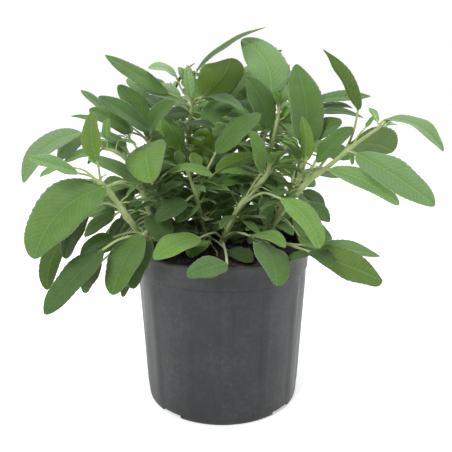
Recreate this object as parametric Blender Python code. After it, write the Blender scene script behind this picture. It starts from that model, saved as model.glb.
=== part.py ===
"""Culinary sage in a black moulded nursery pot. Metres, +Z up, resting on z = 0.

The pot, the soil plug and each leafy stem are one solid each. A leafy stem is its stem, petioles and
blades joined in one body, and its lower end stands in a plain hole in the soil.
"""
import math
import random

import bmesh
import bpy
from mathutils import Matrix, Vector
from mathutils.bvhtree import BVHTree

# Driving dimensions, metres
POT_HEIGHT = 0.156
RIM_RADIUS = 0.0827
COLLAR_DEPTH = 0.021
WALL_TOP = 0.0806
WALL_FOOT = 0.0742
WALL = 0.0016
FLOOR = 0.0022
SOIL_TOP = 0.144
GAP = 0.0003
STEM_SINK = 0.028
BLADE_HALF = 0.00065
RIB_COUNT = 13
RIB_DEPTH = 0.0005
NOTCH_COUNT = 4

MM = 0.001
UP = Vector((0, 0, 1))

for old in list(bpy.data.objects):
    bpy.data.objects.remove(old, do_unlink=True)


def material(name, colour, roughness):
    made = bpy.data.materials.new(name)
    made.use_nodes = True
    shader = made.node_tree.nodes["Principled BSDF"]
    shader.inputs["Base Color"].default_value = (*colour, 1)
    shader.inputs["Roughness"].default_value = roughness
    return made


def add(name, verts, faces):
    mesh = bpy.data.meshes.new(name)
    mesh.from_pydata([tuple(v) for v in verts], [], faces)
    made = bpy.data.objects.new(name, mesh)
    bpy.context.scene.collection.objects.link(made)
    return made


def cutter(name, verts, faces):
    made = add(name, verts, faces)
    made.hide_render = True
    made.display_type = "WIRE"
    return made


def apply(thing):
    graph = bpy.context.evaluated_depsgraph_get()
    mesh = bpy.data.meshes.new_from_object(thing.evaluated_get(graph))
    thing.modifiers.clear()
    thing.data = mesh


def box(centre, half, turn):
    verts = []
    for z in (-1, 1):
        for x, y in ((-1, -1), (1, -1), (1, 1), (-1, 1)):
            verts.append(turn @ (Vector(centre) + Vector((x * half[0], y * half[1], z * half[2]))))
    faces = [(3, 2, 1, 0), (4, 5, 6, 7), (0, 1, 5, 4), (1, 2, 6, 5), (2, 3, 7, 6), (3, 0, 4, 7)]
    return verts, faces


def cut_all(thing, shapes):
    """Cuts every shape of a list from a solid in one Boolean."""
    group = bpy.data.collections.new("cuts")
    bpy.context.scene.collection.children.link(group)
    for n, (verts, faces) in enumerate(shapes):
        piece = cutter("cut_%d" % n, verts, faces)
        bpy.context.scene.collection.objects.unlink(piece)
        group.objects.link(piece)
    cut = thing.modifiers.new("cut", "BOOLEAN")
    cut.operation = "DIFFERENCE"
    cut.solver = "EXACT"
    cut.operand_type = "COLLECTION"
    cut.collection = group
    apply(thing)
    for piece in list(group.objects):
        bpy.data.objects.remove(piece, do_unlink=True)
    bpy.data.collections.remove(group)


# The pot: a lathe profile whose outer wall swells into soft upright ribs, with a stepped collar
SIDES = 52


def rib(angle):
    """How far the wall stands out on a soft rib, 0 to 1."""
    near = math.cos(angle * RIB_COUNT + 0.9)
    return max(0.0, near - 0.55) / 0.45


def pot_profile():
    """Outer wall from the foot up, over the rim, and down the inner wall: (radius, height, rib depth)."""
    low = POT_HEIGHT - COLLAR_DEPTH
    inner = RIM_RADIUS - 0.0017
    return [
        (WALL_FOOT - 0.0030, 0.0, 0), (WALL_FOOT, 0.0030, 0),
        (WALL_FOOT + 0.0004, 0.012, RIB_DEPTH), (WALL_TOP - 0.0004, low - 0.012, RIB_DEPTH),
        (WALL_TOP, low - 0.001, 0), (RIM_RADIUS - 0.0008, low, 0), (RIM_RADIUS - 0.0004, low + 0.003, 0),
        (RIM_RADIUS, POT_HEIGHT - 0.0012, 0), (RIM_RADIUS - 0.0005, POT_HEIGHT, 0),
        (inner, POT_HEIGHT - 0.0002, 0), (RIM_RADIUS - 0.0024, low - 0.002, 0),
        (WALL_FOOT - WALL, 0.005, 0), (WALL_FOOT - WALL - 0.003, FLOOR, 0),
    ]


def ring_faces(first, second, count):
    return [(first + i, first + (i + 1) % count, second + (i + 1) % count, second + i) for i in range(count)]


def make_pot():
    verts, faces = [], []
    profile = pot_profile()
    for radius, height, depth in profile:
        for i in range(SIDES):
            angle = math.tau * i / SIDES
            r = radius + depth * rib(angle)
            verts.append((r * math.cos(angle), r * math.sin(angle), height))
    for k in range(len(profile) - 1):
        faces += ring_faces(k * SIDES, (k + 1) * SIDES, SIDES)
    under, over = len(verts), len(verts) + 1
    verts += [(0, 0, 0), (0, 0, FLOOR)]
    last = (len(profile) - 1) * SIDES
    for i in range(SIDES):
        faces.append((under, (i + 1) % SIDES, i))
        faces.append((over, last + i, last + (i + 1) % SIDES))
    pot = add("pot", verts, faces)
    shapes = []
    for k in range(NOTCH_COUNT):
        turn = Matrix.Rotation(math.radians(49 + 90 * k), 4, "Z") @ Matrix.Rotation(math.radians(-90), 4, "Z")
        # a drain notch through the foot, then a shallow channel towards the middle of the underside
        shapes.append(box((0, WALL_FOOT - 0.006, 0), (0.012, 0.010, 0.0042), turn))
        shapes.append(box((0, 0.042, 0), (0.0065, 0.0245, 0.0009), turn))
    cut_all(pot, shapes)
    return pot


# The soil: a plug that fills the pot, crumbly on top, with a plain hole for each stem
def make_soil(holes):
    draw = random.Random(7)
    count = 32
    top = SOIL_TOP / MM
    low = (POT_HEIGHT - COLLAR_DEPTH) / MM
    foot = (WALL_FOOT - WALL) / MM
    rings = [(foot - 3.5, (FLOOR + GAP) / MM), (foot - 0.6, 5.4), (RIM_RADIUS / MM - 2.9, low - 2.2),
             (RIM_RADIUS / MM - 2.5, top - 1.5)]
    rings += [(r, top) for r in (70, 56, 42, 28, 14)]
    verts, faces = [], []
    for k, (radius, height) in enumerate(rings):
        for i in range(count):
            angle = math.tau * (i + 0.5 * (k % 2)) / count
            lift = draw.uniform(-1.4, 1.8) + 3.0 * math.exp(-(radius / 34) ** 2) if k > 3 else 0
            verts.append(Vector((radius * math.cos(angle), radius * math.sin(angle), height + lift)) * MM)
    for k in range(len(rings) - 1):
        for i in range(count):
            j, a, b = (i + 1) % count, k * count, (k + 1) * count
            if k % 2:
                faces += [(a + i, b + j, b + i), (a + i, a + j, b + j)]
            else:
                faces += [(a + i, a + j, b + i), (a + j, b + j, b + i)]
    under, over = len(verts), len(verts) + 1
    verts += [Vector((0, 0, rings[0][1])) * MM, Vector((0, 0, top + 3)) * MM]
    last = (len(rings) - 1) * count
    for i in range(count):
        faces.append((under, (i + 1) % count, i))
        faces.append((over, last + i, last + (i + 1) % count))
    soil = add("soil", verts, faces)
    shapes = []
    for x, y, r in holes:
        around = [(x + r * math.cos(math.tau * i / 6), y + r * math.sin(math.tau * i / 6)) for i in range(6)]
        ends = [Vector((px, py, z)) * MM for z in (top - 31, top + 20) for px, py in around]
        sides = [(5, 4, 3, 2, 1, 0), (6, 7, 8, 9, 10, 11)] + ring_faces(0, 6, 6)
        shapes.append((ends, sides))
    cut_all(soil, shapes)
    return soil


# Leafy stems. Places are sight marks: column and row as seen from the front, and depth in mm behind the
# pot's axis. SPOT is where the eye is, TILT how far it looks down, SPREAD columns per unit of slope.
SPOT = Vector((3.4, -570, 326))
TILT = math.radians(15.3)
SPREAD = 616


def place(mark):
    if isinstance(mark, Vector):
        return mark
    column, row, depth = mark
    side, rise = (column - 226) / SPREAD, (226 - row) / SPREAD
    ray = Vector((side, math.cos(TILT) + rise * math.sin(TILT), rise * math.cos(TILT) - math.sin(TILT)))
    return SPOT + ray * ((depth - SPOT.y) / ray.y)


def curve(points, steps):
    """A smooth line through points, with the given steps between neighbours."""
    ends = [points[0] * 2 - points[1]] + points + [points[-1] * 2 - points[-2]]
    line = []
    for k in range(1, len(ends) - 2):
        a, b, c, d = ends[k - 1:k + 3]
        for i in range(steps):
            t = i / steps
            line.append(0.5 * (b * 2 + (c - a) * t + (a * 2 - b * 5 + c * 4 - d) * t * t
                               + (b * 3 - a - c * 3 + d) * t ** 3))
    return line + [points[-1]]


def tube(line, radii, sides):
    """A closed tube along a line."""
    verts, faces = [], []
    along = (line[1] - line[0]).normalized()
    across = along.cross(Vector((0.3, 1, 0.1))).normalized()
    for k, point in enumerate(line):
        here = (line[min(k + 1, len(line) - 1)] - line[max(k - 1, 0)]).normalized()
        across = (across - here * across.dot(here)).normalized()
        other = here.cross(across)
        for i in range(sides):
            angle = math.tau * i / sides
            verts.append(point + (across * math.cos(angle) + other * math.sin(angle)) * radii[k])
    for k in range(len(line) - 1):
        faces += ring_faces(k * sides, (k + 1) * sides, sides)
    faces.append(tuple(range(sides - 1, -1, -1)))
    faces.append(tuple(len(verts) - sides + i for i in range(sides)))
    return verts, faces


OUTLINE = [(0.0, 0.10), (0.12, 0.66), (0.34, 0.97), (0.62, 0.96), (0.88, 0.60), (1.0, 0.0)]
SHORT_OUTLINE = [(0.0, 0.12), (0.18, 0.76), (0.48, 1.0), (0.84, 0.66), (1.0, 0.0)]


def seen(point):
    """Column and row of a place."""
    ray = point - SPOT
    deep = ray.y * math.cos(TILT) - ray.z * math.sin(TILT)
    rise = ray.z * math.cos(TILT) + ray.y * math.sin(TILT)
    return Vector((226 + SPREAD * ray.x / deep, 226 - SPREAD * rise / deep))


def blade_frame(base, tip, roll):
    """Chord, upper-face normal and side direction; roll turns the upper face towards the eye."""
    chord = (tip - base).normalized()
    face = UP - chord * UP.dot(chord)
    if face.length < 0.25:
        out = Vector((base.x, base.y, 0)).normalized() * (-1 if chord.z > 0 else 1)
        face = out - chord * out.dot(chord)
    face.normalize()
    side = chord.cross(face)
    if side.y > 0:
        side = -side
    face = (face * math.cos(roll) + side * math.sin(roll)).normalized()
    return chord, face, chord.cross(face)


def roll_for(base, tip, width, shown):
    """The roll at which a blade shows this many columns of width; a negative width shows the underside."""
    best = None
    middle = (base + tip) / 2
    line = (seen(tip) - seen(base)).normalized()
    for degrees in range(-150, 151, 3):
        chord, face, side = blade_frame(base, tip, math.radians(degrees))
        across = seen(middle + side * width / 2) - seen(middle - side * width / 2)
        wide = abs(across.x * line.y - across.y * line.x)
        if face.dot(SPOT - middle) < 0:
            wide = -wide
        miss = abs(wide - shown) + abs(degrees) * 0.02
        if best is None or miss < best[0]:
            best = (miss, degrees)
    return math.radians(best[1])


class Blade:
    """A blade's placing: base, tip, width, arch and sweep as shares of its length, roll and fold."""

    def __init__(self, base, tip, width, arch, sweep, roll, fold):
        self.base, self.tip, self.width, self.fold = base, tip, width, fold
        self.chord, self.face, self.side = blade_frame(base, tip, roll)
        length = (tip - base).length
        middle = (base + tip) / 2
        moved = seen(middle + self.side) - seen(middle)
        way = 1 if moved.x * 0.5 - moved.y > 0 else -1
        self.bulge = (self.face * arch + self.side * (way * sweep)) * length * 4
        self.length = length

    def midrib(self, t):
        return self.base.lerp(self.tip, t) + self.bulge * (t * (1 - t))

    def along(self, t):
        return (self.chord * self.length + self.bulge * (1 - 2 * t)).normalized()

    def stalk(self, node, via):
        """The petiole's line from inside the stem to the blade."""
        reach = (self.base - node).length
        if via is None:
            via = (node + self.base) / 2 + UP * (0.10 * reach) - self.along(0) * (0.06 * reach)
        return curve([node, via, self.base], 2)[:-1] if reach > 36 else [node, via]

    def solid(self, node, via, radius, half):
        """One closed body: the petiole, then a thin blade with a rounded outline and a folded rib."""
        outline = OUTLINE if self.width > 20.5 else SHORT_OUTLINE
        verts, faces = [], []
        line = self.stalk(node, via)
        for k, centre in enumerate(line):
            along = ((line + [self.base])[k + 1] - line[max(k - 1, 0)]).normalized()
            side = (self.side - along * self.side.dot(along)).normalized()
            normal = side.cross(along)
            r = radius * (1.25 if k == 0 else 1.0)
            verts += [centre - side * r, centre + normal * r, centre + side * r, centre - normal * r]
        for k, (t, share) in enumerate(outline[:-1]):
            along, centre = self.along(t), self.midrib(t)
            side = (self.side - along * self.side.dot(along)).normalized()
            normal = side.cross(along)
            w = 0.5 * self.width * share
            wave = 0.03 * self.width * (1 if k % 2 else -1) * (1 if k else 0)
            left = centre + (normal * math.sin(self.fold) - side * math.cos(self.fold)) * w + normal * wave
            right = centre + (normal * math.sin(self.fold) + side * math.cos(self.fold)) * w - normal * wave
            verts += [left, centre + normal * half, right, centre - normal * half]
        verts.append(self.tip)
        rows = len(verts) // 4
        for k in range(rows - 1):
            a, b = k * 4, (k + 1) * 4
            for i in range(4):
                j = (i + 1) % 4
                # both faces of a half are split along the same line
                if ((i in (0, 3)) == (k % 2 == 0)) == (i in (0, 1)):
                    faces += [(a + i, b + i, b + j), (a + i, b + j, a + j)]
                else:
                    faces += [(a + i, b + i, a + j), (a + j, b + i, b + j)]
        a = (rows - 1) * 4
        faces += [(a + i, a + 4, a + (i + 1) % 4) for i in range(4)]
        faces.append((0, 1, 2, 3))
        return verts, faces


class Clear:
    """What is placed so far: a new blade is moved in depth until it is clear of it."""

    def __init__(self):
        self.kept = []

    def tree(self, verts, faces):
        low = [min(v[i] for v in verts) for i in range(3)]
        high = [max(v[i] for v in verts) for i in range(3)]
        return BVHTree.FromPolygons(verts, faces), low, high

    def hits(self, shape, owner):
        tree, low, high = shape
        for other, a, b, whose in self.kept:
            near = whose != owner and all(low[i] <= b[i] and high[i] >= a[i] for i in range(3))
            if near and tree.overlap(other):
                return True
        return False

    def keep(self, shape, owner):
        self.kept.append((*shape, owner))


def stem_line(marks):
    """The stem's line and radii in mm: upright in its hole, then through its marks."""
    points = [place(m[0] if isinstance(m[0], Vector) else m[:3]) for m in marks]
    root = points[0]
    sunk = Vector((root.x, root.y, (SOIL_TOP - STEM_SINK) / MM))
    above = Vector((root.x, root.y, SOIL_TOP / MM + 6))
    line = [sunk] + curve([above] + points[1:], 2)
    radii = [marks[0][-1]]
    for low, high in zip(marks, marks[1:]):
        radii += [low[-1], (low[-1] + high[-1]) / 2]
    return line, radii + [marks[-1][-1]]


# Each stem: marks with a radius in mm, then its leaves. A leaf: node, base and tip marks, width in mm,
# columns of width it shows (negative where its underside shows), arch, sweep, fold in degrees, and an
# optional mark that the petiole passes.
STEMS = {
    "stem_front": ([(222, 246, 10, 3.2), (228, 229, -2, 3.0), (239, 208, -13, 2.9), (255, 189, -14, 2.8),
                    (268, 172, -8, 2.7), (271, 150, 2, 2.5), (277, 122, 8, 2.1), (280, 106, 8, 1.5)], [
        ((224, 240, 7), (199, 238, -45), (154, 260, -82), 27, 23, 0.08, 0.02, 10),
        ((226, 238, 5), (251, 236, -42), (285, 247, -72), 20, 12, 0.10, 0.05, 14),
        ((224, 241, 8), (227, 264, -93), (187, 276, -110), 24, 22, 0.06, 0, 8, (226, 254, -60)),
        ((225, 239, 6), (262, 243, -48), (277, 286, -108), 34, 31, 0.08, 0, 8),
        ((240, 206, -13), (282, 199, -65), (320, 248, -100), 27, 23, 0.10, 0.04, 12, (262, 193, -40)),
        ((242, 203, -13), (262, 172, -30), (251, 131, -45), 18, 15, 0.05, 0.0, 15, (253, 185, -20)),
        ((256, 188, -13), (262, 197, -8), (266, 227, -14), 18, 16, 0.05, 0.05, 10),
        ((263, 180, -11), (254, 180, 2), (214, 187, 2), 18, 13, 0.08, 0.05, 12),
        ((280, 108, 8), (279, 104, 6), (273, 91, 2), 10, 8, 0.05, 0, 20),
        ((280, 108, 8), (281, 104, 11), (286, 90, 16), 9, 6, 0.05, 0, 20),
        ((277, 122, 8), (284, 118, 12), (292, 104, 22), 11, 8, 0.08, 0, 15),
    ]),
    "stem_right": ([(256, 250, 14, 3.8), (268, 233, 2, 3.6), (283, 209, -10, 3.5), (294, 195, -18, 3.2),
                    (312, 178, -30, 2.8), (330, 165, -42, 2.4), (350, 148, -52, 1.9), (368, 135, -60, 1.5),
                    (381, 126, -65, 1.1)], [
        ((378, 128, -64), (385, 120, -68), (443, 152, -100), 24, 14, 0.16, 0, 14),
        ((345, 152, -50), (357, 154, -58), (435, 206, -95), 34, 31, 0.04, 0.0, 10),
        ((318, 174, -33), (330, 170, -48), (399, 205, -76), 21, 17, 0.05, 0.05, 14),
        ((348, 149, -51), (349, 145, -44), (393, 152, -8), 41, -33, 0.04, 0.06, 8),
        ((303, 186, -24), (316, 161, -32), (353, 127, -44), 23, 18, 0.05, -0.02, 12),
        ((346, 151, -50), (358, 110, -22), (323, 49, -45), 22, -14, 0.04, 0.02, 15, (354, 130, -34)),
        ((352, 147, -53), (366, 127, -48), (374, 116, -46), 6, 5, 0.0, 0, 10),
        ((348, 150, -51), (351, 153, -52), (352, 165, -54), 7, 5, 0.05, 0, 10),
        ((292, 197, -17), (303, 193, 6), (326, 209, 14), 17, 12, 0.08, 0.04, 10),
        ((288, 202, -14), (304, 205, -22), (330, 222, -32), 20, 16, 0.08, 0.02, 10),
        ((264, 241, 6), (303, 245, -44), (380, 256, -86), 27, 13, 0.04, -0.03, 16, (284, 243, -20)),
        ((262, 243, 8), (314, 253, -60), (383, 281, -92), 33, -29, 0.05, -0.03, 8, (286, 244, -30)),
        ((261, 244, 9), (288, 260, -64), (312, 253, -66), 14, 9, 0.05, 0, 10),
        ((284, 208, -10), (306, 226, 22), (332, 240, 26), 19, 14, 0.08, 0, 10),
        ((262, 242, 7), (310, 252, -74), (334, 263, -98), 16, 13, 0.05, 0.03, 8, (286, 243, -34)),
        ((286, 205, -12), (296, 214, 6), (302, 240, 10), 20, 16, 0.08, 0, 10),
    ]),
    "stem_upright": ([(250, 246, 27, 3.1), (272, 222, 14, 3.0), (288, 196, 0, 2.8), (298, 172, -8, 2.4),
                      (302, 155, -10, 2.2), (303, 140, -8, 1.9), (301, 122, -2, 1.6), (299, 108, 2, 1.2)], [
        ((302, 153, -10), (307, 147, -18), (297, 64, 10), 37, 35, 0.05, 0.02, 8),
        ((301, 163, -10), (305, 161, -24), (302, 116, -40), 17, -14, 0.05, 0.02, 10),
        ((303, 140, -8), (312, 139, -4), (341, 119, 6), 23, 19, 0.08, 0.0, 10),
        ((300, 118, -1), (314, 101, 6), (371, 96, 12), 18, 11, 0.03, 0.0, 14),
        ((301, 125, -2), (316, 109, 8), (353, 108, 12), 13, 7, 0.08, 0, 12),
        ((302, 132, -5), (318, 113, 18), (364, 118, 24), 14, 7, 0.08, 0, 12),
        ((302, 150, -10), (297, 148, 4), (281, 139, 14), 15, 12, 0.08, 0, 10),
        ((300, 165, -9), (296, 163, 4), (278, 164, 14), 16, 13, 0.08, 0, 10),
        ((279, 210, 7), (275, 205, 16), (273, 190, 26), 18, 15, 0.06, 0, 10),
        ((299, 110, 2), (298, 105, 5), (294, 92, 12), 10, 8, 0.05, 0, 20),
        ((299, 110, 2), (301, 105, 2), (306, 93, 4), 10, 8, 0.05, 0, 20),
    ]),
    "stem_centre": ([(234, 247, 34, 3.2), (239, 220, 34, 3.0), (248, 190, 32, 2.6), (258, 160, 28, 2.4),
                     (266, 130, 24, 2.1), (270, 108, 20, 1.7), (271, 98, 18, 1.5)], [
        ((271, 100, 18), (271, 94, 12), (242, 39, 48), 40, 38, 0.05, 0.13, 8),
        ((266, 132, 24), (266, 129, 0), (245, 77, 4), 28, 25, 0.05, 0.10, 10),
        ((268, 118, 22), (281, 122, 28), (298, 138, 26), 16, 12, 0.10, 0, 10),
        ((259, 158, 28), (276, 165, 20), (297, 176, 16), 18, 14, 0.10, 0, 10),
        ((256, 165, 29), (243, 158, 22), (219, 168, 14), 20, 15, 0.10, 0, 10),
        ((266, 130, 24), (252, 120, 40), (232, 100, 55), 26, 20, 0.10, 0, 10),
        ((271, 100, 18), (276, 92, 34), (285, 64, 62), 26, 20, 0.10, 0, 10),
        ((240, 215, 34), (232, 210, 50), (206, 190, 62), 28, 23, 0.06, 0, 10),
        ((243, 205, 33), (252, 200, 50), (279, 178, 62), 28, 22, 0.06, 0, 10),
        ((240, 215, 34), (248, 222, 46), (276, 212, 60), 26, 21, 0.06, 0, 10),
        ((237, 228, 34), (232, 224, 44), (222, 206, 50), 20, 16, 0.06, 0, 10),
        ((250, 182, 31), (257, 178, 46), (277, 158, 60), 24, 18, 0.06, 0, 10),
    ]),
    "stem_high": ([(200, 243, 38, 3.2), (196, 205, 38, 3.0), (191, 170, 36, 2.6), (188, 148, 32, 2.4),
                   (190, 122, 26, 2.1), (192, 105, 22, 1.8), (192, 92, 20, 1.4), (190, 82, 18, 1.0)], [
        ((194, 105, 22), (202, 97, 8), (231, 58, -14), 43, -41, 0.08, 0.13, 8),
        ((193, 98, 21), (197, 70, 30), (265, 27, 42), 21, 8, 0.05, 0.03, 12),
        ((191, 110, 24), (168, 93, 12), (105, 55, -2), 21, 15, 0.02, -0.03, 18),
        ((192, 101, 22), (176, 76, 18), (148, 68, 12), 18, 9, 0.12, 0.05, 15, (182, 90, 20)),
        ((191, 98, 21), (184, 80, 16), (178, 67, 14), 12, 8, 0.08, 0, 15),
        ((191, 86, 19), (190, 80, 18), (187, 65, 18), 9, 6, 0.05, 0, 18),
        ((191, 86, 19), (192, 84, 19), (196, 74, 19), 8, 6, 0.05, 0, 18),
        ((192, 108, 23), (184, 104, 16), (134, 85, 2), 21, 14, 0.05, 0, 15),
        ((193, 106, 22), (202, 98, 0), (243, 111, -22), 21, 9, 0.13, 0, 10),
        ((190, 124, 27), (201, 119, 18), (233, 106, 14), 27, 21, 0.06, 0, 10),
        ((189, 134, 29), (181, 127, 6), (215, 127, -14), 17, 7, 0.10, 0, 8),
        ((190, 120, 26), (189, 113, 20), (162, 117, 12), 18, 12, 0.08, 0, 10),
        ((188, 162, 34), (203, 158, 26), (205, 130, 34), 30, 27, 0.06, 0, 16),
        ((188, 151, 33), (180, 150, 12), (161, 116, 16), 22, 19, 0.05, 0.03, 10),
        ((190, 166, 35), (184, 168, 44), (163, 140, 50), 26, 22, 0.06, 0, 10),
        ((189, 138, 30), (200, 141, 38), (234, 128, 44), 24, 18, 0.08, 0, 10),
        ((193, 106, 22), (216, 99, 26), (256, 72, 38), 30, 23, 0.08, 0, 10),
        ((192, 105, 22), (180, 97, 40), (150, 84, 58), 24, 17, 0.08, 0, 10),
        ((196, 205, 38), (188, 208, 50), (164, 190, 62), 28, 23, 0.06, 0, 10),
        ((198, 222, 38), (202, 222, 30), (216, 200, 22), 20, 16, 0.06, 0, 10),
        ((197, 212, 38), (206, 205, 52), (233, 188, 66), 26, 21, 0.06, 0, 10),
        ((191, 170, 36), (200, 172, 50), (226, 150, 64), 26, 20, 0.06, 0, 10),
    ]),
    "stem_left": ([(188, 247, 22, 3.2), (170, 232, 4, 3.2), (152, 216, -13, 3.0), (143, 192, -19, 2.8),
                   (133, 166, -22, 2.4), (116, 152, -23, 2.0), (102, 148, -22, 1.5)], [
        ((141, 190, -19), (106, 187, -72), (34, 259, -98), 49, 49, 0.08, 0.12, 8, (122, 182, -50)),
        ((103, 148, -22), (81, 133, -30), (23, 183, -52), 26, 21, 0.12, 0.09, 14),
        ((104, 148, -22), (84, 136, -16), (57, 160, -20), 21, 17, 0.06, 0, 8),
        ((104, 148, -22), (98, 152, -30), (64, 162, -40), 14, 9, 0.08, 0, 12),
        ((140, 183, -20), (137, 181, -27), (88, 158, -42), 19, 14, 0.06, 0, 12),
        ((130, 162, -22), (126, 147, -14), (97, 133, -4), 15, 10, 0.06, 0, 12),
        ((124, 157, -23), (123, 153, -14), (97, 142, -8), 13, 8, 0.06, 0, 12),
        ((151, 213, -15), (152, 215, -32), (165, 244, -50), 30, 27, 0.06, 0, 8),
        ((144, 194, -19), (134, 198, -6), (112, 196, 6), 20, 15, 0.10, 0, 10),
        ((153, 217, -12), (140, 214, 0), (118, 222, 10), 20, 15, 0.10, 0, 10),
        ((148, 205, -16), (156, 208, -4), (140, 232, 4), 20, 16, 0.08, 0, 10),
        ((160, 223, -5), (152, 232, 8), (120, 232, 14), 18, 14, 0.08, 0, 10),
        ((116, 152, -23), (119, 140, -22), (137, 145, -28), 6, 4, 0.10, 0, 10),
    ]),
    "stem_low_left": ([(178, 250, 10, 3.8), (157, 242, -15, 3.7), (140, 232, -36, 3.5), (125, 214, -54, 3.2),
                       (108, 190, -66, 2.6), (98, 181, -70, 2.0)], [
        ((99, 182, -70), (77, 173, -76), (28, 158, -88), 20, 14, 0.03, -0.02, 18),
        ((98, 181, -70), (62, 167, -60), (40, 177, -64), 12, 7, 0.08, 0, 12),
        ((100, 183, -69), (97, 161, -72), (93, 112, -62), 19, 19, 0.04, -0.06, 8),
        ((121, 209, -57), (88, 212, -78), (65, 259, -92), 24, 21, 0.06, -0.04, 12, (104, 203, -72)),
        ((122, 211, -56), (114, 216, -48), (84, 236, -44), 18, 14, 0.08, 0, 12),
        ((110, 193, -64), (67, 233, -60), (47, 290, -70), 24, -21, 0.08, -0.05, 8),
        ((127, 216, -52), (124, 219, -26), (110, 238, -30), 14, 11, 0.08, 0, 10),
    ]),
    "stem_skirt": ([(184, 253, 4, 2.6), (166, 244, -20, 2.5), (152, 236, -40, 2.3), (143, 234, -52, 2.0)], [
        ((149, 235, -45), (142, 235, -62), (112, 295, -98), 33, 31, 0.06, -0.03, 8),
        ((152, 236, -41), (150, 241, -52), (133, 289, -80), 30, 26, 0.08, -0.05, 8),
        ((155, 238, -36), (142, 258, -50), (122, 297, -68), 18, 14, 0.08, 0, 10),
        ((145, 234, -50), (102, 250, -82), (44, 314, -108), 29, 27, 0.05, -0.02, 12, (120, 239, -70)),
        ((146, 234, -48), (101, 262, -58), (84, 293, -66), 21, 16, 0.08, 0, 10),
        ((146, 234, -48), (113, 237, -54), (80, 257, -58), 20, 15, 0.10, 0, 12),
    ]),
    "stem_inner": ([(208, 247, 14, 2.4), (203, 225, 3, 2.3), (197, 199, -9, 2.1), (190, 178, -17, 1.8),
                    (185, 167, -20, 1.4)], [
        ((195, 196, -11), (186, 201, -30), (156, 221, -48), 23, 20, 0.08, 0, 8),
        ((188, 173, -18), (197, 168, -14), (194, 152, -4), 16, 14, 0.05, 0, 10),
        ((186, 168, -20), (180, 166, -16), (178, 150, -12), 16, 13, 0.05, 0, 10),
        ((196, 196, -10), (216, 152, -22), (261, 114, -26), 26, 22, 0.05, 0, 10, (208, 168, -16)),
        ((198, 200, -8), (216, 172, -4), (254, 155, -6), 22, -17, 0.06, 0, 8),
        ((194, 190, -13), (202, 186, -10), (220, 180, -6), 15, 12, 0.08, 0, 10),
        ((202, 221, 1), (194, 207, -2), (183, 221, -6), 15, 12, 0.06, 0, 10),
        ((205, 232, 7), (222, 221, 19), (243, 242, 14), 24, 19, 0.05, 0, 8),
        ((206, 238, 10), (203, 241, -14), (192, 258, -42), 23, 19, 0.08, 0, 8),
        ((207, 238, 10), (228, 251, -22), (252, 262, -60), 22, 16, 0.08, 0, 8),
        ((205, 232, 7), (207, 232, 12), (222, 224, 12), 13, 10, 0.05, 0, 8),
    ]),
    "stem_slope": ([(202, 247, 30, 3.2), (182, 222, 18, 3.1), (164, 200, 5, 2.9), (154, 182, 0, 2.6),
                    (150, 158, 2, 2.2), (151, 138, 5, 1.8)], [
        ((151, 139, 5), (149, 144, -4), (151, 183, -50), 39, 41, 0.12, 0, 8),
        ((151, 139, 5), (150, 129, 2), (118, 85, -4), 27, 22, 0.05, 0, 10),
        ((151, 139, 5), (150, 131, -4), (98, 97, -16), 24, 18, 0.02, 0, 14),
        ((151, 139, 5), (151, 130, -12), (176, 102, -22), 21, 16, 0.10, 0.06, 18),
        ((151, 142, 5), (131, 132, -4), (89, 110, -14), 27, 20, 0.06, 0, 12),
        ((150, 158, 2), (159, 147, -6), (146, 127, -2), 18, 15, 0.06, 0, 10),
        ((151, 139, 5), (158, 109, 14), (143, 96, 16), 20, 15, 0.08, 0, 10),
        ((151, 144, 5), (112, 119, 14), (81, 90, 10), 17, 9, 0.02, 0, 12),
        ((150, 146, 4), (114, 122, 22), (71, 116, 22), 12, 6, 0.02, 0, 10),
        ((151, 139, 5), (146, 102, 24), (128, 78, 30), 20, 15, 0.08, 0, 10),
        ((170, 208, 9), (172, 200, 25), (178, 172, 40), 26, 22, 0.06, 0, 10),
        ((158, 190, 3), (166, 173, -22), (213, 176, -38), 19, 10, 0.14, 0, 10),
    ]),
}


def placings(leaf):
    """The places to try for a leaf, the wished one first: base, tip, petiole bend and roll."""
    width, shown, via = leaf[3], leaf[4], leaf[8] if len(leaf) > 8 else None
    if shown is None:
        # a leaf set by rule swings round its node
        node, base, tip = leaf[:3]
        axis = (tip - node).cross(UP).normalized()
        roll = math.radians(leaf[6] * 100)
        for swing in (0, 9, -9, 18, -18, 27, -27, 38, -38, 50, -50):
            for rise in (0, 10, -10, 20):
                turn = Matrix.Rotation(math.radians(swing), 3, "Z")
                turn = turn @ Matrix.Rotation(math.radians(rise), 3, axis)
                yield node + turn @ (base - node), node + turn @ (tip - node), None, roll
        return
    for shift in [0] + [way * step for step in (5, 10, 15, 20, 26, 32, 40, 48, 56) for way in (-1, 1)]:
        for lean in (0, 10, -10):
            base = place((leaf[1][0], leaf[1][1], leaf[1][2] + shift * 0.6))
            tip = place((leaf[2][0], leaf[2][1], leaf[2][2] + shift + lean))
            bend = via and place((via[0], via[1], via[2] + shift * 0.4))
            yield base, tip, bend, roll_for(base, tip, width, shown)


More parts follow.
